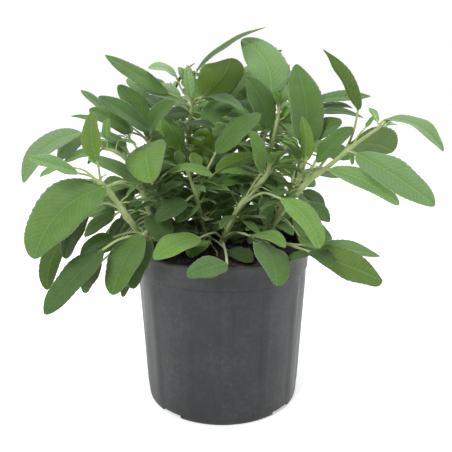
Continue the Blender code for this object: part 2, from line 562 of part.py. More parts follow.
def build_leaf(owner, leaf, line):
    """The shape of a leaf, moved until it is clear of the others; none where there is no room."""
    width, arch, fold = leaf[3], leaf[5], math.radians(leaf[7])
    sweep = 0 if leaf[4] is None else leaf[6]
    wish = place(leaf[0])
    places = [a.lerp(b, k / 6) for a, b in zip(line[1:], line[2:]) for k in range(7)]
    node = min(places, key=lambda spot: (spot - wish).length)
    radius = 0.75 + 0.018 * width
    for base, tip, bend, roll in placings(leaf):
        wide = Blade(base, tip, width * 1.03, arch, sweep, roll, fold)
        whole = CLEAR.tree(*wide.solid(node, bend, radius + 0.5, 1.2))
        # blades of one stem keep clear of each other too, past their petioles
        bare = CLEAR.tree(*wide.solid(wide.midrib(0.04), wide.midrib(0.07), 0.4, 1.0))
        if CLEAR.hits(whole, owner) or OWN[owner].hits(bare, None):
            continue
        CLEAR.keep(whole, owner)
        OWN[owner].keep(bare, owner)
        made = Blade(base, tip, width, arch, sweep, roll, fold)
        return [made.solid(node, bend, radius, BLADE_HALF / MM)]
    return []


def join(name, shapes):
    """One solid from closed shapes, in metres."""
    scaled = [([Vector(v) * MM for v in verts], faces) for verts, faces in shapes]
    body = add(name, *scaled[0])
    group = bpy.data.collections.new(name + "_parts")
    bpy.context.scene.collection.children.link(group)
    for n, (verts, faces) in enumerate(scaled[1:]):
        piece = cutter("%s_%d" % (name, n), verts, faces)
        bpy.context.scene.collection.objects.unlink(piece)
        group.objects.link(piece)
    union = body.modifiers.new("union", "BOOLEAN")
    union.operation = "UNION"
    union.solver = "EXACT"
    union.operand_type = "COLLECTION"
    union.collection = group
    apply(body)
    for piece in list(group.objects):
        bpy.data.objects.remove(piece, do_unlink=True)
    bpy.data.collections.remove(group)
    return body


def paint(thing, made):
    thing.data.materials.clear()
    thing.data.materials.append(made)


def shoot(root, heading, reach, height, levels, seed):
    """A stem of the plant's far side by rule: leaf pairs, each pair square to the one below."""
    draw = random.Random(seed)
    out = Vector((math.cos(math.radians(heading)), math.sin(math.radians(heading)), 0))
    foot = Vector((root[0], root[1], SOIL_TOP / MM))
    marks = []
    for k in range(6):
        t = k / 5
        point = foot + out * (reach * t ** 1.4) + UP * (height * (t - 0.12 * t * t) + 2)
        marks.append((point, 2.7 - 1.5 * t))
    leaves = []
    for k in range(levels):
        t = 0.22 + 0.76 * k / (levels - 1)
        node = foot + out * (reach * t ** 1.4) + UP * (height * (t - 0.12 * t * t) + 2)
        length = 72 - 34 * (k / (levels - 1)) ** 1.5 + draw.uniform(-6, 6)
        for side in (0, 180):
            turn = math.radians(heading + 40 + 90 * k + side + draw.uniform(-14, 14))
            rise = math.radians(-2 + 42 * k / (levels - 1) + draw.uniform(-9, 9))
            way = Vector((math.cos(turn) * math.cos(rise), math.sin(turn) * math.cos(rise), math.sin(rise)))
            way = (way + out * 0.35).normalized()
            stalk = (24 if k < levels - 1 else 9) + draw.uniform(-3, 5)
            base = node + way * stalk + UP * 3
            tip = base + (way - UP * 0.12).normalized() * length
            leaves.append((node, base, tip, length * draw.uniform(0.36, 0.46), None, draw.uniform(0.05, 0.12),
                           draw.uniform(-0.15, 0.15), draw.uniform(8, 16)))
    return marks, leaves


SHOOTS = {
    "stem_back_right": ((30, 44), 47, 78, 128, 4, 385),
    "stem_back_tall": ((14, 56), 74, 70, 172, 5, 381),
    "stem_back": ((-6, 60), 96, 86, 128, 4, 349),
    "stem_back_high": ((-26, 52), 116, 66, 160, 5, 208),
    "stem_back_left": ((-42, 38), 138, 80, 112, 4, 34),
    "stem_back_low": ((4, 40), 84, 34, 50, 3, 13),
}
for name, rule in SHOOTS.items():
    STEMS[name] = shoot(*rule)

CLEAR = Clear()
OWN = {name: Clear() for name in STEMS}
lines = {name: stem_line(marks) for name, (marks, leaves) in STEMS.items()}
for name, (line, radii) in lines.items():
    CLEAR.keep(CLEAR.tree(*tube(line, [r + 0.6 for r in radii], 4)), name)

pot = make_pot()
paint(pot, material("pot_plastic", (0.035, 0.036, 0.037), 0.45))
holes = [(line[0].x, line[0].y, radii[0] * 1.16 + 0.5) for line, radii in lines.values()]
soil = make_soil(holes)
paint(soil, material("soil_mix", (0.035, 0.022, 0.018), 0.95))
for thing in (pot, soil):
    verts = [v.co / MM for v in thing.data.vertices]
    CLEAR.keep(CLEAR.tree(verts, [tuple(p.vertices) for p in thing.data.polygons]), thing.name)

for name, (marks, leaves) in STEMS.items():
    line, radii = lines[name]
    shapes = [tube(line, radii, 4)]
    for leaf in leaves:
        shapes += build_leaf(name, leaf, line)
    paint(join(name, shapes), material(name + "_green", (0.13, 0.22, 0.08), 0.6))
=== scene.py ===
import math
import random

import bmesh
import bpy
from mathutils import Matrix, Vector, kdtree, noise
from mathutils.bvhtree import BVHTree


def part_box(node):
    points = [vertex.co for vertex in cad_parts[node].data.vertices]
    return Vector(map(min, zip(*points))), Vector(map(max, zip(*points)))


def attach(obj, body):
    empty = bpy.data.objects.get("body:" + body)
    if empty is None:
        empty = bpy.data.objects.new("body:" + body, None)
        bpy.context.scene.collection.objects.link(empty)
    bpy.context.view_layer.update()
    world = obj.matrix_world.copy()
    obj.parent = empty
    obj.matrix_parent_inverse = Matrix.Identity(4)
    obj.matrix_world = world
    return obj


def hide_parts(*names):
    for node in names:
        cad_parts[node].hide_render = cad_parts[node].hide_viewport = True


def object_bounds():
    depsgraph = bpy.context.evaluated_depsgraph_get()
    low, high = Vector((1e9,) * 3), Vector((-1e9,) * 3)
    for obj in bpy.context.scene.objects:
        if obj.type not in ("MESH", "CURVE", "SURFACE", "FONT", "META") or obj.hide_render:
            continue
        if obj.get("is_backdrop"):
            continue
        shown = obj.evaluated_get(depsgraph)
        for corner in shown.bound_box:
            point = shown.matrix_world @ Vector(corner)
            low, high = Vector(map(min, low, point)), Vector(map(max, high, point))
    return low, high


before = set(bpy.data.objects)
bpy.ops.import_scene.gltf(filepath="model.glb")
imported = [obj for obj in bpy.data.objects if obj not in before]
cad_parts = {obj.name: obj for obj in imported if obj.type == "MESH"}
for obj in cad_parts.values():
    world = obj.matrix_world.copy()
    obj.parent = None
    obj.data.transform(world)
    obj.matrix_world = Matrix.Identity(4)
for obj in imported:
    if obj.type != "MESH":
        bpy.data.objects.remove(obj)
cad_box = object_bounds()

# The view: an eye 0.57 m in front of the pot's axis and 0.33 m up, looking a little down, as a shop pictures
# a plant on a table. Leaves are set out by sight marks, the columns and rows of a picture taken from there:
# PICTURE is its side in columns, and SPREAD its lens in columns.
MM = 0.001
SPOT = Vector((3.4, -570, 326))
TILT = math.radians(15.3)
PICTURE = 452
SPREAD = 616
FILM = 36
camera = bpy.data.cameras.new("view")
camera.lens = FILM * SPREAD / PICTURE
camera.clip_start = 0.01
view = bpy.data.objects.new("view", camera)
view.location = SPOT * MM
view.rotation_euler = (math.pi / 2 - TILT, 0, 0)
bpy.context.scene.collection.objects.link(view)
bpy.context.scene.camera = view
bpy.context.scene.view_settings.view_transform = "Standard"


# The studio: a key box high on the left, a weak fill on the right, one box from above, and a white room that
# is dimmer in front. The plant stands on a pale table top, which is no part of it.
def soft_box(name, place, aim, size, watts, tint=(1, 1, 1)):
    lamp = bpy.data.lights.new(name, "AREA")
    lamp.shape = "RECTANGLE"
    lamp.size, lamp.size_y = size
    lamp.energy = watts
    lamp.color = tint
    made = bpy.data.objects.new(name, lamp)
    made.location = place
    made.rotation_euler = (Vector(aim) - Vector(place)).to_track_quat("-Z", "Y").to_euler()
    bpy.context.scene.collection.objects.link(made)


soft_box("key_box", (-0.62, -1.05, 1.15), (0, 0, 0.22), (0.55, 0.55), 17)
soft_box("fill_box", (1.15, -0.35, 0.45), (0, 0, 0.12), (0.35, 0.9), 4)
soft_box("top_box", (0.1, 0.35, 1.4), (0, 0, 0.25), (0.8, 0.6), 8, (0.93, 0.97, 1.0))


def fill(tree, made, inputs):
    """Gives sockets of a node a number, a colour or another node's output each."""
    for key, value in dict(inputs).items():
        socket = made.inputs[key]
        if isinstance(value, bpy.types.NodeSocket):
            tree.links.new(value, socket)
        else:
            socket.default_value = (*value, 1) if socket.type == "RGBA" else value


def node(tree, kind, inputs=(), **settings):
    """A shader node with its inputs and settings."""
    made = tree.nodes.new("ShaderNode" + kind)
    for name, value in settings.items():
        setattr(made, name, value)
    fill(tree, made, inputs)
    return made


def sums(tree, work, *values):
    """What one kind of sum makes of the values."""
    return node(tree, "Math", dict(enumerate(values)), operation=work).outputs[0]


def times(tree, first, second):
    return sums(tree, "MULTIPLY", first, second)


def ramp(tree, value, low, high, start=0.0, end=1.0):
    """Runs smoothly from start to end as value goes from low to high."""
    ends = {0: value, 1: low, 2: high, 3: start, 4: end}
    return node(tree, "MapRange", ends, interpolation_type="SMOOTHSTEP").outputs[0]


def dye(tree, share, first, second, how="MIX"):
    """Two colours mixed."""
    made = node(tree, "Mix", {0: share, 6: first, 7: second}, data_type="RGBA", blend_type=how)
    return made.outputs[2]


def coats(tree, tint, *layers):
    """A tint under thin coats, each with its mask, its strength and its colour."""
    for mask, strength, colour in layers:
        tint = dye(tree, times(tree, mask, strength), tint, colour)
    return tint


def grain(tree, place, scale, detail=3.0, rough=0.55):
    made = node(tree, "TexNoise", {"Vector": place, "Scale": scale, "Detail": detail, "Roughness": rough})
    return made.outputs["Fac"]


def finish_of(name, roughness):
    """A new material with its tree and its shader."""
    made = bpy.data.materials.new(name)
    made.use_nodes = True
    shader = made.node_tree.nodes["Principled BSDF"]
    shader.inputs["Roughness"].default_value = roughness
    return made, made.node_tree, shader


def place_of(tree):
    return node(tree, "TexCoord").outputs["Object"]


def split(tree, vector):
    return node(tree, "SeparateXYZ", {0: vector}).outputs


def mark_of(tree, name):
    """What the mesh says at each of its points under a name."""
    return node(tree, "Attribute", attribute_name=name).outputs["Vector"]


def part_from(name, shape, *finishes):
    """The finished mesh of a bmesh as a piece that stands with the pot."""
    mesh = bpy.data.meshes.new(name)
    shape.to_mesh(mesh)
    shape.free()
    for finish in finishes:
        mesh.materials.append(finish)
    made = bpy.data.objects.new(name, mesh)
    bpy.context.scene.collection.objects.link(made)
    return made


room = bpy.data.worlds.new("white_room")
room.use_nodes = True
tree, walls = room.node_tree, room.node_tree.nodes["Background"]
to_side, to_back = split(tree, node(tree, "TexCoord").outputs["Generated"])[:2]
away = sums(tree, "ADD", to_back, times(tree, sums(tree, "MAXIMUM", to_side, 0), 0.35))
fill(tree, walls, {"Strength": ramp(tree, away, -0.5, 0.45, 0.30, 1.0), "Color": (1, 1, 1)})
bpy.context.scene.world = room

table_white, tree, shader = finish_of("table_white", 0.7)
speckle = dye(tree, grain(tree, place_of(tree), 60), (0.93, 0.93, 0.93), (0.95, 0.95, 0.95))
fill(tree, shader, {"Base Color": speckle, "Emission Color": (1, 1, 1), "Emission Strength": 0.35})
shape = bmesh.new()
bmesh.ops.create_circle(shape, cap_ends=True, segments=96, radius=4)
table = part_from("table_top", shape, table_white)
table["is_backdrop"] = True

# The pot: one thin moulding of black recycled plastic. Its wall leans in to the foot and has very soft
# upright ribs, a stepped collar stiffens the top, and the foot has drain notches and a moulded underside.
POT_TURNS, WALL_ROWS = 208, 24
RIB_COUNT, RIB_DEPTH = 13, 0.6
RIB_START, RIB_EDGE = 0.9, 0.55
NOTCH_COUNT, NOTCH_START = 4, -41
pot_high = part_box("pot")[1] / MM
RIM, TALL = pot_high.x, pot_high.z
COLLAR = 21
WALL_TOP, WALL_FOOT, WALL, FLOOR = RIM - 2.1, RIM - 8.5, 1.6, 2.2


def wall_line():
    """The pot's section in mm, from under the middle of the floor up the outside and down the inside."""
    low = TALL - COLLAR
    outside = [(0, 0.8), (20, 0.8), (21, 0), (WALL_FOOT - 3.4, 0), (WALL_FOOT - 1.6, 0.4),
               (WALL_FOOT - 0.4, 1.5), (WALL_FOOT, 3)]
    for k in range(WALL_ROWS + 1):
        t = k / WALL_ROWS
        outside.append((WALL_FOOT + 0.2 + (WALL_TOP - WALL_FOOT - 0.2) * t, 5 + (low - 7 - 5) * t))
    step = [(WALL_TOP, low - 1.4), (WALL_TOP + 0.3, low - 0.6), (RIM - 1.0, low - 0.1),
            (RIM - 0.7, low + 0.5), (RIM - 0.6, low + 2), (RIM - 0.35, low + 10), (RIM - 0.2, TALL - 3.4),
            (RIM, TALL - 2.8), (RIM, TALL - 1.0), (RIM - 0.2, TALL - 0.3), (RIM - 0.7, TALL),
            (RIM - 1.2, TALL - 0.1), (RIM - 1.6, TALL - 0.7), (RIM - 1.8, TALL - 2.5)]
    inside = [(RIM - 2.3, low), (WALL_TOP - WALL, low - 4), (WALL_FOOT - WALL, 6),
              (WALL_FOOT - WALL - 1, 3.4), (WALL_FOOT - WALL - 3, FLOOR), (0, FLOOR)]
    return outside + step + inside


def rib(angle):
    """How far the wall stands out on a soft rib, 0 to 1."""
    near = math.cos(angle * RIB_COUNT + RIB_START)
    return max(0.0, near - RIB_EDGE) / (1 - RIB_EDGE)


def turned(line, turns):
    """A bmesh in metres, spun once round the upright axis from a section in mm."""
    shape = bmesh.new()
    dots = [shape.verts.new(Vector((x, 0, z)) * MM) for x, z in line]
    edges = [shape.edges.new(pair) for pair in zip(dots, dots[1:])]
    bmesh.ops.spin(shape, geom=dots + edges, axis=(0, 0, 1), cent=(0, 0, 0), angle=math.tau, steps=turns,
                   use_merge=True)
    bmesh.ops.remove_doubles(shape, verts=shape.verts, dist=1e-6)
    bmesh.ops.recalc_face_normals(shape, faces=shape.faces)
    return shape


shape = turned(wall_line(), POT_TURNS)
ribs_low, ribs_high = 7, TALL - COLLAR - 4
for v in shape.verts:
    height = v.co.z / MM
    reach = v.co.xy.length / MM
    if ribs_low < height < ribs_high and reach > WALL_FOOT - 0.2:
        ease = min(1.0, (height - ribs_low) / 6, (ribs_high - height) / 10)
        swell = RIB_DEPTH * ease * rib(math.atan2(v.co.y, v.co.x)) / reach
        v.co.xy *= 1 + swell


def relief_on(tree, shader, height, depth, strength=1.0):
    """Fine relief of the given depth in metres."""
    made = node(tree, "Bump", {"Height": height, "Distance": depth, "Strength": strength})
    tree.links.new(made.outputs["Normal"], shader.inputs["Normal"])
    return made


pot_plastic, tree, shader = finish_of("pot_plastic", 0.42)
where = place_of(tree)
streaks = node(tree, "Mapping", {"Vector": where, "Scale": (1, 1, 0.06)}).outputs[0]
streak = grain(tree, streaks, 90, 4)
cloud = ramp(tree, grain(tree, where, 26, 5, 0.65), 0.32, 0.68)
blotch = ramp(tree, grain(tree, where, 230, 3, 0.6), 0.36, 0.64)
dust = ramp(tree, grain(tree, where, 420, 2), 0.68, 0.76)
right, back, rise = split(tree, where)
# Painted shade: a thin dark line along each rib's edge and a dark band under the collar's lip
around = sums(tree, "MULTIPLY_ADD", sums(tree, "ARCTAN2", back, right), RIB_COUNT, RIB_START)
off_edge = sums(tree, "ABSOLUTE", sums(tree, "SUBTRACT", sums(tree, "COSINE", around), RIB_EDGE))
below = ramp(tree, rise, (TALL - COLLAR - 12) * MM, (TALL - COLLAR - 4) * MM, 1.0, 0.0)
crease_shade = times(tree, ramp(tree, off_edge, 0.0, 0.16, 1.0, 0.0), below)
off_lip = sums(tree, "ABSOLUTE", sums(tree, "SUBTRACT", rise, (TALL - COLLAR - 1.0) * MM))
under_lip_shade = ramp(tree, off_lip, 0.8 * MM, 2.6 * MM, 1.0, 0.0)
shade = sums(tree, "MAXIMUM", times(tree, crease_shade, 0.16), times(tree, under_lip_shade, 0.22))
tint = dye(tree, cloud, (0.010, 0.0118, 0.0134), (0.027, 0.0298, 0.0315))
tint = coats(tree, tint, (blotch, 0.6, (0.007, 0.0082, 0.0092)), (streak, 0.35, (0.040, 0.043, 0.043)),
             (dust, 0.25, (0.16, 0.155, 0.145)))
tint = dye(tree, shade, tint, (0.004, 0.0045, 0.005))
gloss = sums(tree, "ADD", ramp(tree, streak, 0.3, 0.7, 0.36, 0.52), times(tree, shade, 0.3))
fill(tree, shader, {"Base Color": tint, "Roughness": gloss, "Specular IOR Level": 0.38})
ripple = sums(tree, "ADD", times(tree, streak, 0.6), grain(tree, where, 900, 2))
relief_on(tree, shader, ripple, 0.00012, 0.6)
pot = part_from("nursery_pot", shape, pot_plastic)

NOTCH, NOTCH_OUT = (24, 20, 8.4), WALL_FOOT - 6
CHANNEL, CHANNEL_OUT = (13, 48, 1.8), 42.5
notches = bmesh.new()
for k in range(NOTCH_COUNT):
    turn = Matrix.Rotation(math.radians(NOTCH_START + 360 / NOTCH_COUNT * k), 4, "Z")
    for size, out in ((NOTCH, NOTCH_OUT), (CHANNEL, CHANNEL_OUT)):
        spot = Matrix.Translation((0, out * MM, 0)) @ Matrix.Diagonal((*(side * MM for side in size), 1))
        bmesh.ops.create_cube(notches, size=1, matrix=turn @ spot)
notch_cutter = part_from("notch_cutter", notches)
cut = pot.modifiers.new("notches", "BOOLEAN")
cut.operation = "DIFFERENCE"
cut.object = notch_cutter
cut.use_self = True
notched = bpy.data.meshes.new_from_object(pot.evaluated_get(bpy.context.evaluated_depsgraph_get()))
pot.modifiers.clear()
pot.data = notched
bpy.data.objects.remove(notch_cutter, do_unlink=True)
pot.data.shade_smooth()
pot.data.set_sharp_from_angle(angle=math.radians(38))
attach(pot, "root")
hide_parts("pot")

# The potting mix: dark moist peat and bark, firmed in level and mounded a little round the stems, with loose
# crumbs, bark chips and a few pale grains on top.
soil_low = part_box("soil")[0] / MM
SOIL_TOP, SOIL_EDGE = 144, RIM - 2.5
SOIL_TURNS, SOIL_RINGS = 176, 56
draw = random.Random(5)
line = [(0, soil_low.z), (WALL_FOOT - WALL - 4, soil_low.z), (WALL_FOOT - WALL - 0.8, 6),
        (SOIL_EDGE - 1.6, 110), (SOIL_EDGE - 0.2, SOIL_TOP - 1.5)]
line += [(SOIL_EDGE * (1 - k / SOIL_RINGS) - 0.4, SOIL_TOP) for k in range(1, SOIL_RINGS)]
shape = turned(line + [(0, SOIL_TOP)], SOIL_TURNS)


def soil_height(x, y):
    """The top of the soil at a place, in mm."""
    spot = Vector((x, y, 0))
    mound = 2.4 * math.exp(-(spot.length / 34) ** 2)
    lumps = noise.fractal(spot / 17, 0.9, 2.1, 3) * 1.1 + noise.fractal(spot / 4.2, 0.7, 2.2, 3) * 1.0
    return SOIL_TOP + mound + max(-2.2, min(1.6, lumps))


for v in shape.verts:
    if v.co.z > (SOIL_TOP - 0.5) * MM:
        v.co.z = soil_height(v.co.x / MM, v.co.y / MM) * MM


def grow(whole, shape):
    """Adds a shape to a piece's whole mesh."""
    grown = bpy.data.meshes.new("grown")
    shape.to_mesh(grown)
    shape.free()
    whole.from_mesh(grown)
    bpy.data.meshes.remove(grown)


def soil_bits(count, smallest, largest, flat, slot):
    """Loose bits, each a small lumpy ball or a flat chip pressed into the top."""
    for _ in range(count):
        reach, angle = (SOIL_EDGE - 5) * math.sqrt(draw.random()), draw.uniform(0, math.tau)
        x, y = reach * math.cos(angle), reach * math.sin(angle)
        size = draw.uniform(smallest, largest)
        bit = bmesh.new()
        turn = Matrix.Rotation(draw.uniform(0, math.tau), 4, "Z")
        turn = turn @ Matrix.Rotation(draw.uniform(-0.6, 0.6), 4, "X")
        spot = Matrix.Translation((x * MM, y * MM, (soil_height(x, y) + size * flat * 0.25) * MM))
        stretch = Matrix.Diagonal((size * MM, size * draw.uniform(0.45, 0.9) * MM, size * flat * MM, 1))
        bmesh.ops.create_icosphere(bit, subdivisions=1, radius=0.5)
        for v in bit.verts:
            v.co *= draw.uniform(0.75, 1.2)
        bmesh.ops.transform(bit, matrix=spot @ turn @ stretch, verts=bit.verts)
        for face in bit.faces:
            face.material_index = slot
        grow(shape, bit)


soil_bits(620, 1.4, 3.6, 0.75, 1)
soil_bits(150, 3.5, 8.5, 0.30, 2)
soil_bits(26, 1.0, 2.2, 0.8, 3)


def matt(name, dark, light, roughness, flecks=(260, 5, 0.7), full=0.68, bumps=(700, 0.0006, 1.0)):
    """A matt finish with flecks of two colours and fine bumps of a scale, depth and strength."""
    made, tree, shader = finish_of(name, roughness)
    where = place_of(tree)
    fleck = ramp(tree, grain(tree, where, *flecks), 0.35, full)
    fill(tree, shader, {"Base Color": dye(tree, fleck, dark, light)})
    relief_on(tree, shader, grain(tree, where, bumps[0], 4, 0.7), *bumps[1:])
    return made


peat = matt("peat", (0.016, 0.013, 0.012), (0.050, 0.040, 0.036), 0.95)
crumb = matt("crumb", (0.020, 0.015, 0.013), (0.072, 0.054, 0.045), 0.9)
bark = matt("bark_chip", (0.030, 0.019, 0.014), (0.115, 0.078, 0.056), 0.85)
grit = matt("pale_grit", (0.22, 0.20, 0.17), (0.55, 0.52, 0.46), 0.8)
soil = part_from("potting_mix", shape, peat, crumb, bark, grit)
soil.data.shade_smooth()
soil.data.set_sharp_from_angle(angle=math.radians(50))
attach(soil, "root")
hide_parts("soil")

# The leafy stems: green square stems, soft at the corners, that stand in the soil. Pairs of leaves grow from
# them on grooved petioles. A leaf is a thin downy blade with a puckered face, veins raised below and a fine
# scalloped rim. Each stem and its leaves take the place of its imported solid, leaf for leaf.
UP = Vector((0, 0, 1))
# How deep the stems stand in the soil, and the steps of their lines from mark to mark
STEM_SINK, STEM_STEPS = 28, 8
# The gap between side veins, and how far they run on for each mm out
VEIN_STEP, VEIN_SLANT = 4.3, 0.75
# Half a blade's thickness, the length of a row of its faces, and the width from which it has more columns
HALF_THICK, ROW_LONG, BROAD = 0.24, 1.35, 17
# A petiole's radius, that of a small leaf's, and what each mm of the blade's width adds
PETIOLE, SMALL_PETIOLE, PETIOLE_MORE = 0.75, 0.45, 0.018
# A hair's radius, and hairs to a mm of rim and of stem
HAIR, RIM_HAIRS, STEM_HAIRS = 0.032, 1.8, 1.5


def place(mark):
    """A point in mm from a sight mark: column, row and depth behind the pot's axis."""
    column, row, depth = mark
    side, rise = (column - PICTURE / 2) / SPREAD, (PICTURE / 2 - row) / SPREAD
    ray = Vector((side, math.cos(TILT) + rise * math.sin(TILT), rise * math.cos(TILT) - math.sin(TILT)))
    return SPOT + ray * ((depth - SPOT.y) / ray.y)


def seen(point):
    """Column and row of a place."""
    ray = point - SPOT
    deep = ray.y * math.cos(TILT) - ray.z * math.sin(TILT)
    rise = ray.z * math.cos(TILT) + ray.y * math.sin(TILT)
    return Vector((PICTURE / 2 + SPREAD * ray.x / deep, PICTURE / 2 - SPREAD * rise / deep))


def curve(points, steps):
    """A smooth line through points, with the given steps between neighbours."""
    ends = [points[0] * 2 - points[1]] + points + [points[-1] * 2 - points[-2]]
    line = []
    for k in range(1, len(ends) - 2):
        a, b, c, d = ends[k - 1:k + 3]
        for i in range(steps):
            t = i / steps
            line.append(0.5 * (b * 2 + (c - a) * t + (a * 2 - b * 5 + c * 4 - d) * t * t
                               + (b * 3 - a - c * 3 + d) * t ** 3))
    return line + [points[-1]]


def stem_line(marks, steps):
    """A stem's line and radii: upright in the soil, then through its marks."""
    points = [m[0] if isinstance(m[0], Vector) else place(m[:3]) for m in marks]
    root = points[0]
    sunk = Vector((root.x, root.y, SOIL_TOP - STEM_SINK))
    above = Vector((root.x, root.y, SOIL_TOP + 6))
    radii = [marks[0][-1]]
    for low, high in zip(marks, marks[1:]):
        radii += [low[-1] + (high[-1] - low[-1]) * k / steps for k in range(steps)]
    return [sunk] + curve([above] + points[1:], steps), radii + [marks[-1][-1]]


def stalk(line, radii, sides, shape_round, slot):
    """A closed green stalk along a line; shape_round gives the share of the radius at an angle."""
    shape = bmesh.new()
    marks, tones = (shape.verts.layers.float_vector.new(word) for word in ("blade", "tone"))
    bmesh.ops.create_grid(shape, x_segments=len(line) - 1, y_segments=sides, size=1)
    frames, run = [], [0]
    for low, high in zip(line, line[1:]):
        run.append(run[-1] + (high - low).length)
    across = (line[1] - line[0]).cross(Vector((0.3, 1, 0.1))).normalized()
    for k in range(len(line)):
        here = (line[min(k + 1, len(line) - 1)] - line[max(k - 1, 0)]).normalized()
        across = (across - here * across.dot(here)).normalized()
        frames.append((across, here.cross(across)))
    for v in shape.verts:
        k = round((v.co.x + 1) / 2 * (len(line) - 1))
        angle = (v.co.y + 1) * math.pi
        first, second = frames[k]
        out = first * math.cos(angle) + second * math.sin(angle)
        v[marks] = (math.cos(angle) * radii[k], math.sin(angle) * radii[k], run[k])
        v[tones] = (1, line[k].z / TALL, 0)
        v.co = (line[k] + out * radii[k] * shape_round(angle, out)) * MM
    bmesh.ops.remove_doubles(shape, verts=shape.verts, dist=1e-7)
    bmesh.ops.holes_fill(shape, edges=[e for e in shape.edges if e.is_boundary], sides=0)
    bmesh.ops.recalc_face_normals(shape, faces=shape.faces)
    for face in shape.faces:
        face.material_index = slot
        face.smooth = True
    return shape


def blade_frame(base, tip, roll):
    """Chord, upper-face normal and side direction; roll turns the upper face towards the eye."""
    chord = (tip - base).normalized()
    face = UP - chord * UP.dot(chord)
    if face.length < 0.25:
        out = Vector((base.x, base.y, 0)).normalized() * (-1 if chord.z > 0 else 1)
        face = out - chord * out.dot(chord)
    face.normalize()
    side = chord.cross(face)
    if side.y > 0:
        side = -side
    face = (face * math.cos(roll) + side * math.sin(roll)).normalized()
    return chord, face, chord.cross(face)


# The rolls tried, in degrees, and what a degree counts against a column of width
ROLLS, ROLL_COST = range(-150, 151, 3), 0.02


def roll_for(base, tip, width, shown):
    """The roll at which a blade shows this many columns of width; a negative width shows the underside."""
    best = None
    middle = (base + tip) / 2
    line = (seen(tip) - seen(base)).normalized()
    for degrees in ROLLS:
        chord, face, side = blade_frame(base, tip, math.radians(degrees))
        across = seen(middle + side * width / 2) - seen(middle - side * width / 2)
        wide = abs(across.x * line.y - across.y * line.x)
        if face.dot(SPOT - middle) < 0:
            wide = -wide
        miss = abs(wide - shown) + abs(degrees) * ROLL_COST
        if best is None or miss < best[0]:
            best = (miss, degrees)
    return math.radians(best[1])


class Blade:
    """A leaf blade: base, tip, width, arch and sweep as shares of its length, roll, fold and its own draw."""

    def __init__(self, base, tip, width, arch, sweep, roll, fold, seed):
        self.base, self.tip, self.width, self.fold = base, tip, width, fold
        self.chord, self.face, self.side = blade_frame(base, tip, roll)
        self.length = (tip - base).length
        middle = (base + tip) / 2
        shown = seen(middle + self.side) - seen(middle)
        way = 1 if shown.x * 0.5 - shown.y > 0 else -1
        self.bulge = (self.face * arch + self.side * (way * sweep)) * self.length * 4
        self.radius = PETIOLE + PETIOLE_MORE * width
        own = random.Random(seed)
        self.waves = [(own.uniform(1.3, 2.2), own.random(), own.uniform(0.6, 1.3)) for _ in range(2)]
        self.seed = own.uniform(0, 90)
        self.cup = own.uniform(0.0, 0.03)
        self.sharp = min(0.32, max(0, 0.40 - width / self.length) * 2.4)

    def midrib(self, t):
        return self.base.lerp(self.tip, t) + self.bulge * (t * (1 - t))

    def along(self, t):
        return (self.chord * self.length + self.bulge * (1 - 2 * t)).normalized()

    def stalk_line(self, joint, via=None):
        """The petiole's line from inside the stem into the blade."""
        reach = (self.base - joint).length
        if via is None:
            via = (joint + self.base) / 2 + UP * (0.10 * reach) - self.along(0) * (0.06 * reach)
        return curve([joint, via, self.base], 5) + [self.midrib(0.03)]

    def half_width(self, t):
        """Half the width at a share of the length: rounded at both ends, and fullest past the foot."""
        round_end = math.sin(math.pi * min(1, max(0, t)) ** 0.88) ** (0.55 + self.sharp * t)
        return max(0.5 * self.width * round_end, self.radius * (1 - t / 0.12))

    def spot(self, t, u, skin):
        """A point on the blade: t along, u across from -1 to 1, and skin 1 on the upper face, -1 below."""
        along = self.along(t)
        side = (self.side - along * self.side.dot(along)).normalized()
        normal = side.cross(along)
        y, edge = t * self.length, abs(u)
        x = u * self.half_width(t) * (1 + 0.022 * edge ** 6 * math.sin(y * 2.7 + self.seed))
        soft = 0.06 * self.width
        bend = math.sqrt(x * x + soft * soft) - soft
        turns, start, size = self.waves[u > 0]
        wave = 0.030 * self.width * size * edge ** 2 * math.sin(math.tau * (t * turns + start))
        roll = -self.cup * self.width * edge ** 4
        puff = self.pucker(x, y) * (1 - edge ** 4) * min(1, t / 0.08)
        thin = math.sqrt(max(0, 1 - u * u))
        if skin > 0:
            lift = HALF_THICK + (self.radius * 0.85 - HALF_THICK) * math.exp(-y / 2.5)
            lift -= 0.30 * math.exp(-(x / 0.9) ** 2) * min(1, t / 0.1)
        else:
            rib = (self.radius * 0.9 - 0.1) * math.exp(-(x / (0.5 * self.radius + 0.3)) ** 2) * (1 - t) ** 1.2
            lift = -HALF_THICK - rib
        rise = bend * math.sin(self.fold) + wave + roll + puff + lift * thin
        return self.midrib(t) + side * (x * math.cos(self.fold)) + normal * rise

    def pucker(self, x, y):
        """How far the blade swells between its side veins, in mm."""
        phase = ((y - abs(x) * VEIN_SLANT) / VEIN_STEP) % 1
        near = 1 - 2 * min(phase, 1 - phase)
        swell = 0.34 * (1 - near ** 3) - 0.17
        return swell + 0.30 * noise.noise(Vector((x * 0.45, y * 0.45, self.seed)))


LEAF_TOP, LEAF_UNDER, GREEN_STEM, DOWN = range(4)


